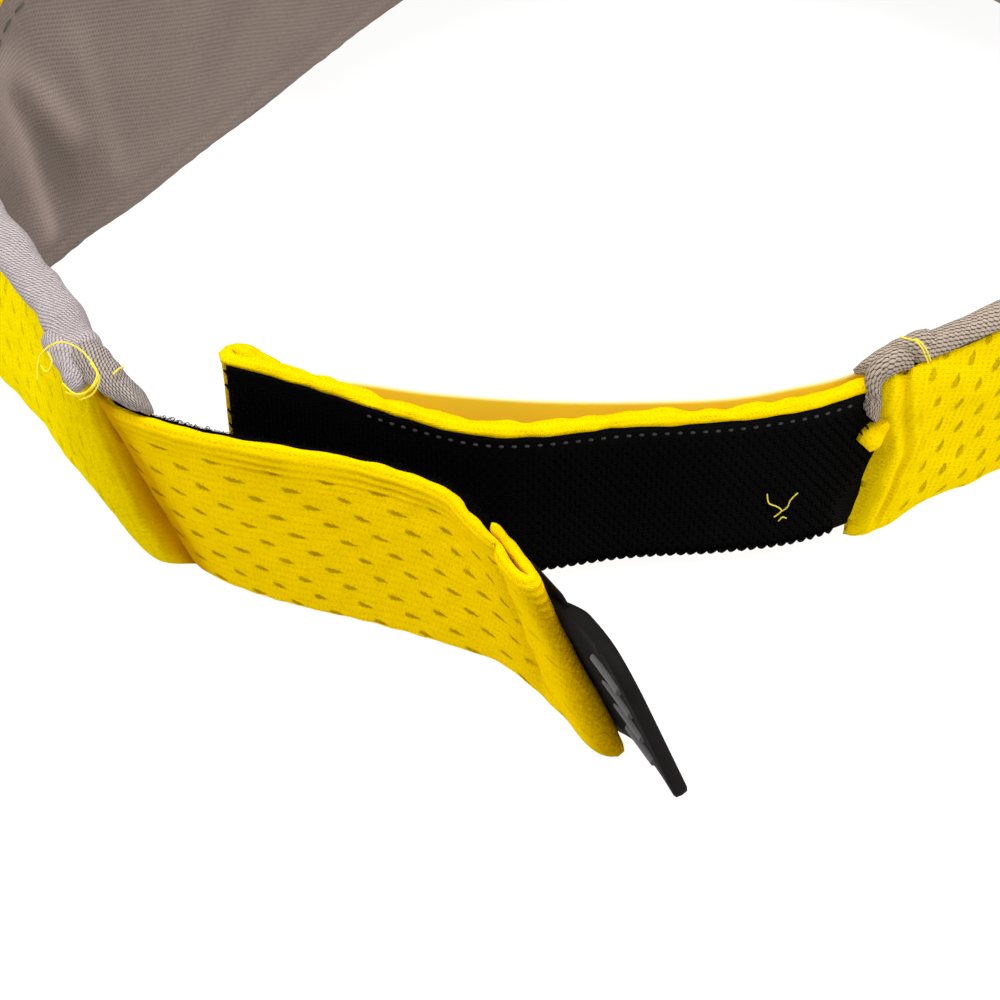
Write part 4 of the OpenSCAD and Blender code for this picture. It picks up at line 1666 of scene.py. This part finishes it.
@dataclass(frozen=True)
class HookStrap:
    """The strap with the hook tape, and the smooth strip behind it."""

    ribs: tuple[Rib, ...]
    strip: tuple[Rib, ...]
    bend: tuple[Triple, Triple]
    lint: tuple[Path, ...]
    pitch: Point = (1.4, 1.0)
    sag: float = 2.6
    nick: Triple = (1.3, 0.4, 2.4)  # depth, place past the end, width
    tape_ends: Point = (2.0, 2.2)
    tape_fine: Point = (0.4, 0.5)
    bare: Point = (0.8, 1.4)  # past the mouth's rib at the top, past the next rib at the bottom
    dots: Triple = (1.68, 0.75, 0.45)  # pitch, length, thickness
    curl: Point = (1.1, 1.3)  # height, offset
    hook_heights: Point = (1.9, 23.4)
    hook_way: Triple = (0.35, 0, -1.0)
    dot_height: float = 24.5
    dot_gap: float = 21.0
    tick_heights: tuple[float, ...] = (4.0, 7.5, 10.0, 14.5, 17.0, 21.5, 24.0)
    fine: float = 0.34
    strip_fine: float = 0.6

    @cached_property
    def band(self) -> Ribbon:
        """The strap's ribbon."""
        return Ribbon(self.ribs, -1)

    @property
    def hold(self) -> Hold:
        """The strap's hold: the right strap's body, its own body and a bend line."""
        return Hold("right_strap", "hook_strap", self.bend)

    def build(self) -> None:
        """Makes the strap's pieces."""
        self.mesh()
        self.tape()
        self.trim()
        self.backing()

    def mesh(self) -> None:
        """The folded mesh, whose top edge is a bumpy roll and whose end is turned back."""
        band = self.band
        loop = Loop.through(
            [(1.5, -0.3), (1.5, 0.3), (2.0, 0.7), (13, 0.72), (24.8, 0.75), (25.5, 0.9), (25.9, 1.45),
             (26.5, 1.65), (27.0, 1.0), (27.15, 0), (26.9, -0.8), (26, -1.1), (25, -0.8), (13, -0.75),
             (2.0, -0.7)],
            CLOSURE_HEIGHT, self.fine)
        end = band.length
        path = [(0, 0), (15, 0), (30, 0), (45, 0), (60, 0), (end - 18, 0), (end - 12, 0), (end - 6, 0),
                (end - 2.4, 0), (end - 1.5, -0.55), (end - 2.4, -1.1), (end - 5.5, -1.35), (end - 11, -1.4)]
        patch = band.folded(loop, path, self.fine, (0.5, 0.9))
        s, v = patch.grid()
        share, height = loop.share, loop.share * CLOSURE_HEIGHT
        patch.points[..., 2] -= self.sag * ease(end, end + 9, s) * ease(0.4, 0.9, share)
        deep, past, width = self.nick
        nick = deep * hump(s, end + past, width) * ease(0.92, 0.96, share)
        patch.points -= nick[..., None] * band.ahead
        bumps = ripple(s, 0.4 * v, 7, 41) * 0.2 + ripple(s, v, 2.2, 42) * 0.1
        patch.push(ease(25.5, 26.6, height) * bumps + ripple(s, v, 10, 43) * 0.06)
        patch.marks["shade"] = 0.35 * ease(0.95, 0.5, share)
        patch.marks["plain"] = ease(22, 24, height)
        patch.mesh("hook_strap_mesh", TAB_MESH, self.hold, "hook_strap_tongue", "hook_strap_shell")

    def tape(self) -> None:
        """The woven tape, its smooth selvedge and its field of hooks."""
        band = self.band
        loop = Loop.through(
            [(0.65, 0.8), (0.65, TAPE_BACK), (14, TAPE_BACK), (24.4, TAPE_BACK), (24.8, 1.5), (25.8, 1.6),
             (26.1, 1.2), (26.0, 0.8), (14, 0.78)], CLOSURE_HEIGHT, self.tape_fine[0])
        first, last = self.tape_ends[0], band.length - self.tape_ends[1]
        patch = band.swept(loop, (first, last), self.tape_fine[1], (0.2, 0.2))
        patch.mesh("hook_tape_weave", HOOK_WEAVE, self.hold, "hook_tape")
        heights = np.arange(*self.hook_heights, self.pitch[1])
        s, h = np.meshgrid(np.arange(first + 3, last - 0.5, self.pitch[0]), heights)
        s = s + np.arange(len(heights))[:, None] % 2 * self.pitch[0] / 2
        near, far = band.mark(1) + self.bare[0], band.mark(2) + self.bare[1]
        keep = (s < last - 0.5) & (s > near + (far - near) * ease(0.5, 0.2, h / CLOSURE_HEIGHT))
        s, share = s[keep], h[keep] / CLOSURE_HEIGHT
        spots = band.points(s, share, TAPE_BACK - 0.1)
        facing = band.points(s, share, TAPE_BACK + 1) - band.points(s, share, TAPE_BACK)
        down = np.broadcast_to(np.array(self.hook_way), facing.shape)
        HOOKS.run(guide_points(spots, facing, down), "hook_field", HOOK_NYLON, HOOK)

    def trim(self) -> None:
        """The row of pale stitches under the selvedge, the curls along the bottom, and loose ends."""
        band = self.band
        first, last = band.mark(2) + 1.0, band.length - 2.6
        s = np.arange(first, last, 0.4)
        row = band.points(s[s < last - self.dot_gap], self.dot_height / CLOSURE_HEIGHT, TAPE_BACK + 0.25)
        dots = {name: size * MM for name, size in zip(("Pitch", "Length", "Thickness"), self.dots)}
        STITCH.run(guide_lines([row]), "hook_tape_dots", GREY_NYLON, HOOK, **dots)
        s = np.arange(first, last, self.pitch[0] / 10)
        turn = s / self.pitch[0] * TAU
        height, offset = self.curl
        share = (height - 0.3 * np.cos(turn)) / CLOSURE_HEIGHT
        curl = band.points(s + 0.2 * np.sin(turn), share, offset + 0.25 * np.sin(turn))
        s = band.length - np.array([3.2, 2.3, 1.6])
        lift, offset = np.array([0.0, 0.1, 0.3]), np.array([1.3, 1.25, 0.8])
        ticks = [band.points(s, (lift + height) / CLOSURE_HEIGHT, offset) for height in self.tick_heights]
        lint = []
        for path in self.lint:
            s, height, offset = np.array(path).T
            lint.append(smooth_path(band.points(s, height / CLOSURE_HEIGHT, offset), 6))
        threads = (
            ([curl], "hook_tape_curls", BLACK_THREAD, 0.6), (ticks, "hook_end_stitches", BLACK_THREAD, 0.34),
            (lint, "hook_tape_lint", YELLOW_THREAD, 0.2))
        for lines, name, finish, thick in threads:
            THREAD.run(guide_lines(lines), name, finish, HOOK, Thickness=thick * MM)

    def backing(self) -> None:
        """The smooth strip that bows inward behind the strap."""
        band = Ribbon(self.strip, -1)
        loop = Loop.through(
            [(0.0, -0.3), (0.0, 0.3), (12, 0.4), (25.2, 0.35), (25.6, 0.0), (25.2, -0.35), (12, -0.4)],
            STRIP_HEIGHT, self.strip_fine)
        patch = band.swept(loop, (0, band.length), self.strip_fine, (0.4, 0.4))
        # A painted highlight along the strip's top edge.
        patch.marks["pale"] = ease(25.0, STRIP_HEIGHT, loop.share * STRIP_HEIGHT)
        piece = patch.mesh("hook_strap_strip", AMBER, HOOK, "hook_strap_lining")


@dataclass(frozen=True)
class Fold:
    """A soft upright fold of the lining: its place and lean, where it rises and falls, and its strength, as
    relief (high) and as painted light on its ridge or painted shade in its hollow (tone).
    """

    along: float
    lean: float
    level: float
    width: float
    rise: Point
    fall: Point
    high: float
    tone: float

    def at(self, s: Array, height: Array) -> Array:
        """The fold's share of its strength at places on the lining."""
        line = hump(s, self.along + self.lean * (self.level - height), self.width)
        return line * ease(*self.rise, height) * ease(*self.fall, height)


@dataclass(frozen=True)
class FrontPanel:
    """The front panel: mesh outside, foam, and a ribbed knit lining."""

    ribs: tuple[Rib, ...]
    folds: tuple[Fold, ...]
    lining: float = 0.9
    foam: float = 1.2
    shell: float = 1.3
    hem_share: float = 0.885
    sewn_shares: Point = (0.05, 0.94)
    stitch: float = 3.2
    pucker: float = 3.4
    fines: Triple = (0.8, 3.0, 0.6)  # lining, foam, mesh
    nose: Point = (0.5, 0.5)

    @cached_property
    def band(self) -> Ribbon:
        """The lining's inner face."""
        return Ribbon(self.ribs, -1)

    def build(self) -> None:
        """Makes the panel's pieces."""
        self.inside()
        self.core()
        self.outside()

    @staticmethod
    def sheet_loop(near: float, far: float, low: float, high: float, pitch: float) -> Loop:
        """A flat loop.

        Args:
            near: Offset of its inner face.
            far: Offset of its outer face.
            low: Height of its lower edge, of the panel's height.
            high: Height of its upper edge.
            pitch: Spacing of the points.

        Returns:
            The loop.
        """
        edge = (far - near) * 0.35
        heights = (low + 0.5, 20, 40, high - 0.5)
        return Loop.through(
            [(low, near + edge), (low, far - edge), *((h, far) for h in heights), (high, far - edge),
             (high, near + edge), *((h, near) for h in heights[::-1])], PANEL_HEIGHT, pitch)

    def inside(self) -> None:
        """The knit lining with its stitched hem and soft folds at the left bend."""
        band = self.band
        loop = self.sheet_loop(0, self.lining, 0, PANEL_HEIGHT, self.fines[0])
        patch = band.swept(loop, (0, band.length), self.fines[0], self.nose)
        s, v = patch.grid()
        height = loop.share * PANEL_HEIGHT
        face = loop.offset < self.lining / 2
        puckered = 0.25 + 0.12 * np.cos(s * TAU / self.pucker)
        relief = -hump(height, 4.0, 0.7) * 0.3 + hump(height, 1.8, 1.6) * puckered
        # Painted shade, darker towards the left end and low down, and painted light or shade on each fold.
        tone = -0.3 * ease(34, 16, s) * ease(34, 18, height)
        for fold in self.folds:
            strength = fold.at(s, height)
            relief = relief + strength * fold.high
            tone = tone + strength * fold.tone
        relief = relief + ripple(s, v, 30, 51) * 0.25
        patch.push(np.where(face, relief, 0))
        patch.marks["fold"] = tone
        piece = patch.mesh("front_lining_knit", PANEL_KNIT, FRONT, "front_panel_lining")
        row = loop.nearest(self.hem_share, face)
        line = guide_lines([band.points(s[:, 0], loop.share[row], -0.1 - relief[:, row])])
        STITCH.run(line, "front_lining_stitches", GREY_THREAD, FRONT, Pitch=self.stitch * MM)

    def core(self) -> None:
        """The foam between lining and mesh."""
        band = self.band
        fine = self.fines[1]
        loop = self.sheet_loop(self.lining + 0.1, self.lining + self.foam - 0.1, 2.5, 57.5, fine)
        patch = band.swept(loop, (1, band.length - 1), fine, self.nose)
        piece = patch.mesh("front_foam", FOAM, FRONT, "front_panel_interlining")

    def outside(self) -> None:
        """The mesh, which is turned over the top edge as a binding."""
        band = self.band
        near, far = self.lining + self.foam, self.lining + self.foam + self.shell
        loop = Loop.through(
            [(-0.2, near), (-0.3, far - 0.4), (0.5, far), (20, far), (40, far), (57, far), (59.5, far + 0.4),
             (61.0, far - 0.6), (61.2, near - 1.2), (60.6, -0.5), (58.6, -0.55), (58.2, 0.1),
             (59.6, near - 0.6), (58.5, near), (40, near), (20, near)], PANEL_HEIGHT, self.fines[2])
        patch = band.swept(loop, (0, band.length), self.fines[2], self.nose)
        s, v = patch.grid()
        face = loop.offset > far - 0.2
        relief = rough(s, v, (22, 61, 0.3), (6, 62, 0.06))
        patch.push(np.where(face, relief, 0))
        piece = patch.mesh("front_mesh", TAB_MESH, FRONT, "front_panel_shell")
        rows = [loop.nearest(share, face) for share in self.sewn_shares]
        lines = [band.points(s[:, 0], loop.share[row], far + 0.05 + relief[:, row]) for row in rows]
        STITCH.run(
            guide_lines(lines), "front_mesh_stitches", YELLOW_THREAD, FRONT, Pitch=self.stitch * MM)


@dataclass(frozen=True)
class Brim:
    """The brim: two cloth covers over a stiff board, with rows of stitching and a bound edge.

    The free edge is given from back to front by shares of the half width, shares of the way to the front, and
    heights.
    """

    panel: FrontPanel
    seam: Triple = (4.0, 7.0, 10.2)
    corner: Triple = (2.7, 3.6, -2.4)
    edge: Path = ((0.95, 0.11, 4.2), (1, 0.27, 2.0), (0.93, 0.52, 2.0), (0.66, 0.81, 4.8))
    front_high: float = 8.0
    side_y: float = 49.0
    reach: float = 66.0
    half: float = 84.0
    board: float = 0.9
    cover: float = 0.9
    bow: float = 4.0
    panel_t: float = 3.4
    inner: float = 0.15
    bound: Triple = (0.94, 0.99, 0.995)
    rows: int = 6
    fine: tuple[int, int] = (150, 70)

    def edge_line(self) -> Array:
        """The control points of the brim's free edge.

        Returns:
            The points, from left to right.
        """
        x, y = self.panel.ribs[len(self.panel.ribs) // 2].foot
        front = y + self.panel_t + self.reach
        left, right = (
            [[x + side * self.half * share, self.side_y + (front - self.side_y) * way, z]
             for share, way, z in self.edge] for side in (-1, 1))
        first, last = (
            self.seam_at(np.array(rib)) + np.array([side * self.corner[0], *self.corner[1:]])
            for side, rib in ((-1, self.seam[0]), (1, self.seam[2])))
        return np.array([first, *left, [x, front, self.front_high], *right[::-1], last])

    def seam_at(self, ribs: Array) -> Array:
        """Points of the seam on the panel's lower edge."""
        low = self.panel.band.points(self.panel.band.mark(ribs), 0.0, self.panel_t + self.inner)
        return low + np.array([0, 0, self.board + self.cover + 0.4])

    def surface(self, part: Array, v: Array) -> Array:
        """Points of the brim's middle surface.

        Args:
            part: From 0 at the left end of the seam to 1 at its middle and 2 at its right end.
            v: From 0 at the seam to 1 at the free edge.

        Returns:
            The points, one row for each part.
        """
        edge = smooth_path(self.edge_line(), Ribbon.FINE)
        a = self.seam_at(np.interp(part, [0, 1, 2], self.seam))[:, None]
        places = part / 2 * (len(edge) - 1)
        b = np.stack([np.interp(places, np.arange(len(edge)), edge[:, k]) for k in range(3)], 1)[:, None]
        points = a + (b - a) * v[None, :, None]
        points[..., 2] += self.bow * 4 * v * (1 - v) * np.linalg.norm(b - a, axis=2) / self.reach
        return points

    def build(self) -> None:
        """Makes the covers, the bound edge and the stitching."""
        self.skin(1, "brim_top_cloth", BRIM_CLOTH, "brim_top_cover")
        self.skin(-1, "brim_under_knit", BRIM_KNIT, "brim_under_cover")
        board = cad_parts["brim_board"]
        board.data.materials.clear()
        board.data.materials.append(BOARD.material())
        lines = self.surface(np.linspace(0, 2, self.fine[0]), np.linspace(0.1, 0.9, self.rows))
        for name, side, yarn in (("top", 1, YELLOW_THREAD), ("under", -1, GREY_THREAD)):
            placed = lines + side * np.array([0, 0, self.board + self.cover + 0.05])
            paths = guide_lines([placed[:, k] for k in range(self.rows)])
            STITCH.run(paths, f"brim_{name}_stitches", yarn, FRONT, Pitch=3.0 * MM)
        rim = self.surface(np.linspace(0, 2, 400), np.array([1.0]))[:, 0]
        THREAD.run(guide_lines([rim]), "brim_edge_piping", BRIM_CLOTH, FRONT, Thickness=2.6 * MM)

    def skin(self, side: int, name: str, finish: Finish, node: str) -> None:
        """One cover, closed between the board and its outer face.

        Args:
            side: 1 above the board, or -1.
            name: The piece's name.
            finish: What it is made of.
            node: The solid that it replaces.
        """
        near, far = side * self.inner, side * (self.board + self.cover)
        turn, under, end = self.bound
        v = np.linspace(0, end, self.fine[1])
        points = self.surface(np.linspace(0, 2, self.fine[0]), v)
        outer, inner = points.copy(), points.copy()
        outer[..., 2] += near + (far - near) * np.sqrt(1 - np.clip((v - turn) / (end - turn), 0, 1) ** 2)
        inner[..., 2] += near + (side * self.board - near) * ease(under, turn, v)
        loop = np.concatenate([outer, inner[:, ::-1]], axis=1)
        middle = loop[self.fine[0] // 2]
        travel = travelled(np.vstack([middle, middle[:1]]))
        piece = Patch(loop, travelled(points[:, -1])[:, None], travel).mesh(name, finish, FRONT, node)
        low, high = points.min((0, 1)), points.max((0, 1))
        (high[0] - low[0]) * MM
        (high[1] - low[1]) * MM


@dataclass(frozen=True)
class Light:
    """A square soft light that looks at a target, in metres and watts."""

    name: str
    place: Triple
    target: Triple
    size: float
    power: float

    def build(self) -> None:
        """Puts the light in the scene."""
        lamp = bpy.data.lights.new(self.name, "AREA")
        lamp.size, lamp.energy = self.size, self.power
        holder = linked(self.name, lamp)
        holder.location = self.place
        x, y, z = np.subtract(self.target, self.place)
        holder.rotation_euler = (math.atan2(math.hypot(x, y), -z), 0, math.atan2(y, x) - TAU / 4)


@dataclass(frozen=True)
class Studio:
    """The pale floor, the soft light and the camera."""

    eye: Triple = (-9.1, -298.3, 234.4)
    pitch: float = 43.0
    lens: float = 86.4
    sensor: float = 36.0
    clip: Point = (0.01, 20)
    floor_half: float = 1500.0
    floor_drop: float = 0.2
    floor_glow: float = 0.92
    sky: float = 0.45
    lights: tuple[Light, ...] = (
        Light("top_light", (0.0, -0.1, 0.9), (0.0, 0.0, 0.0), 0.8, 9.0),
        Light("right_light", (0.7, -0.25, 0.45), (0.0, -0.05, 0.0), 0.4, 2.2),
        Light("left_light", (-0.65, 0.0, 0.5), (-0.07, -0.04, 0.0), 0.4, 2.4))

    def build(self) -> None:
        """Sets the stage."""
        scene = bpy.context.scene
        scene.view_settings.view_transform = "Standard"
        lens = bpy.data.cameras.new("camera")
        lens.lens, lens.sensor_width = self.lens, self.sensor
        lens.clip_start, lens.clip_end = self.clip
        camera = linked("camera", lens)
        camera.location = [x * MM for x in self.eye]
        camera.rotation_euler = (math.radians(90 - self.pitch), 0, 0)
        scene.camera = camera
        self.floor()
        world = bpy.data.worlds.new("sky")
        world.use_nodes = True
        ground = world.node_tree.nodes["Background"].inputs
        ground["Strength"].default_value = self.sky
        ground["Color"].default_value = (1, 1, 1, 1)
        scene.world = world
        for light in self.lights:
            light.build()

    def floor(self) -> None:
        """A plain pale floor."""
        half = self.floor_half * MM
        data = bpy.data.meshes.new("floor")
        corners = [(-half, -half, 0), (half, -half, 0), (half, half, 0), (-half, half, 0)]
        data.from_pydata(corners, [], [(0, 1, 2, 3)])
        paper = ShaderTree("floor_paper").finish(
            Base_Color=(0.15, 0.15, 0.15), Roughness=0.9, Emission_Color=(1.0, 1.0, 1.0),
            Emission_Strength=self.floor_glow)
        data.materials.append(paper)
        floor = linked("floor", data)
        floor.location.z = -self.floor_drop * MM


LEFT_STRAP = SideStrap(
    "left", 1,
    lead=upright(0, SIDE_HEIGHT, (-83.6, 7.8, -83.6, 7.8, 0.45), (-90.4, 0.9, -90.4, 0.9, 0.5)),
    ribs=upright(
        0, SIDE_HEIGHT, (-92, -3, -92, -3, 0.72), (-83, -16, -84.5, -17, 0.95), (-72, -31, -75, -33),
        (-64, -43, -68.5, -43.5), (-56, -54, -65.5, -50), (-49, -60.4, -61.5, -57.2)),
    bend=((-90, 1, 0), (-90, -7, 0)),
    mouth=((0, -1.2), (0.25, -2.9), (0.75, -3.3), (1, -2.2)),
    roll_top=33.0, roll_end=5.5, mesh=LEFT_MESH, knit=LEFT_KNIT, swell=0.9, lip=3.4, shade_strength=1.0,
    gather_high=0.26, dim_shade=0.25,
    cords=(
        Cord("left_knit_tail", TAIL_KNIT, (
            (-66.5, -49.5, 30.6), (-63.3, -53.5, 31.2), (-60.5, -56.8, 31.0), (-57.8, -59.0, 30.2),
            (-55.6, -60.1, 29.1), (-54.8, -60.5, 28.1)), (2.6, 2.8, 2.3, 1.8, 1.1, 0.4), 0.75),
        Cord("left_knit_bun", LEFT_KNIT, (
            (-69.0, -47.8, 30.6), (-67.2, -51.2, 31.0), (-65.6, -54.0, 30.8), (-65.0, -56.2, 30.0),
            (-65.4, -57.2, 29.2)), (1.8, 2.1, 2.0, 1.6, 0.7), 0.9)),
    threads=(
        ((-70.3, -55.3, 29.5), (-69.9, -53.3, 32.0), (-67.2, -53.2, 34.2), (-64.3, -54.9, 34.6),
         (-62.0, -57.7, 34.0), (-61.2, -59.4, 33.0), (-62.2, -60.3, 31.3), (-64.0, -59.9, 30.0)),
        ((-65.8, -59.5, 31.0), (-63.8, -60.5, 31.2), (-62.0, -60.7, 33.0), (-61.4, -59.3, 33.9),
         (-62.4, -57.6, 34.3)),
        ((-66.2, -58.9, 32.0), (-64.3, -60.5, 31.5), (-62.3, -60.6, 32.3), (-61.3, -59.5, 33.2)),
        ((-68.7, -53.7, 33.0), (-68.0, -55.2, 32.5), (-68.8, -55.4, 31.0), (-69.8, -54.2, 31.0)),
        ((-59.5, -58.6, 33.2), (-58.8, -57.8, 33.5), (-58.3, -56.9, 33.0))))
RIGHT_STRAP = SideStrap(
    "right", -1,
    lead=upright(0, SIDE_HEIGHT, (109.3, 8.5, 109.3, 8.5, 0.45), (108, -3, 108, -3, 0.5)),
    ribs=upright(
        0, SIDE_HEIGHT, (104, -8.5, 104, -8.5, 0.72), (92, -17.5, 92.5, -18.5, 0.95), (78, -28, 79, -29.8),
        (63.5, -37.4, 64.3, -39.6), (50.5, -45.5, 51.3, -47.3), (40.6, -52.2, 40.4, -53.8)),
    bend=((106, -4, 0), (103, -13, 0)),
    mouth=((0, 1.7), (0.1, 2.2), (0.25, 0.7), (0.42, -0.5), (0.5, -1.2), (0.6, -1.0), (0.77, 0.1),
           (0.9, -0.2), (1, -0.8)),
    roll_top=31.8, roll_end=5.0, mesh=RIGHT_MESH, knit=RIGHT_KNIT, lip=2.6, lip_base=0.5, flare=0.6,
    shade_strength=0.18, gather=1.5, gather_high=0.25, roll_half=2.4, groove=0.6,
    cords=(
        Cord("right_knit_back", RIGHT_KNIT, (
            (48.5, -48.2, 30.4), (45.2, -50.3, 30.7), (42.0, -52.1, 30.6), (40.0, -52.9, 30.0),
            (38.0, -53.0, 29.0)), (1.9, 1.9, 1.6, 1.2, 0.4), 0.9),
        Cord("right_knit_tail", RIGHT_KNIT, (
            (45.0, -51.9, 30.6), (42.5, -53.4, 30.9), (40.9, -54.5, 30.0), (40.4, -55.1, 27.5),
            (40.7, -55.2, 24.4), (41.4, -55.1, 22.6)), (1.6, 1.7, 1.5, 1.25, 1.15, 0.6)),
        Cord("right_frayed_end", EDGE_MESH, (
            (44.0, -52.6, 22.2), (42.9, -53.6, 21.2), (41.8, -54.4, 20.2), (40.8, -55.4, 19.2),
            (40.0, -55.9, 18.4)), (1.0, 1.3, 1.6, 1.7, 1.2))),
    threads=(
        ((45.6, -51.8, 33.6), (46.5, -53.2, 33.3), (47.6, -53.6, 31.0)),
        ((43.7, -51.8, 34.0), (45.6, -52.3, 33.8)),
        ((45.9, -51.6, 33.5), (46.9, -53.0, 33.3), (47.9, -53.4, 31.2))))

TAB_LOW = 0.4
PEEL_TAB = PeelTab(
    ribs=upright(
        TAB_LOW, TAB_LOW + CLOSURE_HEIGHT, (-54, -55.5, -63.5, -52.2), (-49.2, -61.6, -60, -58.2),
        (-42, -66.2, -50.5, -63), (-34, -69.2, -38.5, -66.4), (-25, -71.8, -27, -69.3),
        (-15.9, -75.7, -16.4, -74.4), (-8, -79.6, -12.8, -79.5), (-1, -87.4, -8.6, -85.8),
        (5.6, -94.8, -4.6, -92.4)),
    bend=((-20, -72, 0), (-11, -76.5, 0)))
HOOK_LOW = 1.6
STRIP_LOW = 2.6
HOOK_STRAP = HookStrap(
    ribs=upright(
        HOOK_LOW, HOOK_LOW + CLOSURE_HEIGHT, (46, -48.8, 46.3, -50.5, 0.7), (41, -52, 41, -53.5, 0.9),
        (37.6, -54, 37.6, -55), (31, -56.8, 31, -57.8), (21, -58.5, 21, -60.1), (8, -59.6, 8, -61.2),
        (-9, -62.6, -9, -63.3), (-21, -59.3, -21, -59.6), (-33, -53.7, -33, -53.7),
        (-47.6, -47.6, -47.6, -47.6)),
    strip=(
        *upright(
            STRIP_LOW, 28.0, (42.0, -49.2, 42.0, -49.8), (36.5, -51.8, 36.5, -52.6),
            (30.2, -53.8, 30.2, -54.6), (21, -55.7, 21, -56.9), (8, -56.6, 8, -57.6), (-5, -56.9, -5, -57.3),
            (-18, -55.6, -18, -55.8)),
        *upright(STRIP_LOW, 27.7, (-27, -53.6, -27, -53.6)),
        *upright(STRIP_LOW, 26.6, (-33, -51.4, -33, -51.4)),
        *upright(STRIP_LOW, 25.0, (-37, -49.8, -37, -49.8))),
    bend=((41, -52, 0), (34, -56, 0)),
    lint=(
        ((21.6, 12.2, 2.3), (21.3, 10.6, 2.5), (20.2, 9.8, 2.6), (19.4, 8.6, 2.4), (20.3, 7.6, 2.4)),
        ((17.4, 11.6, 2.4), (18.4, 10.6, 2.6), (18.7, 9.2, 2.5), (19.6, 8.4, 2.4)),
        ((19.6, 6.6, 2.3), (19.2, 7.4, 2.5), (18.6, 7.0, 2.4))))
PANEL_FOLDS = (
    Fold(7.8, 0.44, 49, 2.4, (14, 26), (56, 48), 0.9, 0.65),
    Fold(6.9, 0.148, 43, 1.7, (3, 10), (50, 42), 0.9, 0.9),
    Fold(22.7, 0.158, 33, 2.2, (3, 12), (48, 36), 0.5, 0.3),
    Fold(9.6, 0.26, 43, 2.0, (6, 16), (50, 40), -0.4, -0.5))


def panel_ribs(top: float = 76.0, arch: float = 19.0, lean: float = 8.0) -> tuple[Rib, ...]:
    """The front panel's ribs, from the left fold round the front to the right fold.

    Args:
        top: Height of the top edge at the middle.
        arch: Height of the lower edge at the middle.
        lean: How far the top leans inward at the middle.

    Returns:
        The ribs.
    """
    plan = (
        ((-88.3, -2.5), (0, 0), 0), ((-81, 5), (0, 0), 0), ((-73.2, 13.2), (2, -1), 0.09),
        ((-58.2, 27.4), (2, -2), 0.15), ((-42.8, 45), (2, -2), 0.35), ((-24.9, 63.5), (2, -3), 0.65),
        ((-3.7, 79), (1, -3), 0.9), ((23, 85), (0, -1), 1), ((49.8, 80), (-1, -3), 0.9),
        ((72, 67.5), (-2, -3), 0.65), ((89, 53), (-2, -2), 0.35), ((100.5, 35.5), (-2, -1), 0.15),
        ((105, 18.5), (-1, 0), 0.06),
        ((105.8, 7), (0, 0), 0), ((103, -4.9), (0, 0), 0))
    lows = (0.4, 1, 3.4, arch * 0.39, arch * 0.58, arch * 0.8, arch * 0.94, arch)
    highs = (34, 0.62 * top + 5, 0.7 * top + 3.5, 0.81 * top, 0.88 * top, 0.94 * top, 0.985 * top, top)
    ribs = []
    for k, (foot, way, share) in enumerate(plan):
        level = min(k, len(plan) - 1 - k)
        size = math.hypot(*way) or 1
        head = (foot[0] + way[0] / size * lean * share, foot[1] + way[1] / size * lean * share)
        ribs.append(Rib(foot, head, lows[level], highs[level]))
    return tuple(ribs)


def main() -> None:
    """Builds the studio and every sub-assembly."""
    logging.basicConfig(level=logging.INFO, format="%(name)s: %(message)s")
    Studio().build()
    panel = FrontPanel(panel_ribs(), PANEL_FOLDS)
    for assembly in (panel, Brim(panel), LEFT_STRAP, RIGHT_STRAP, PEEL_TAB, PullTab(), HOOK_STRAP):
        assembly.build()


if __name__ == "__main__":
    main()
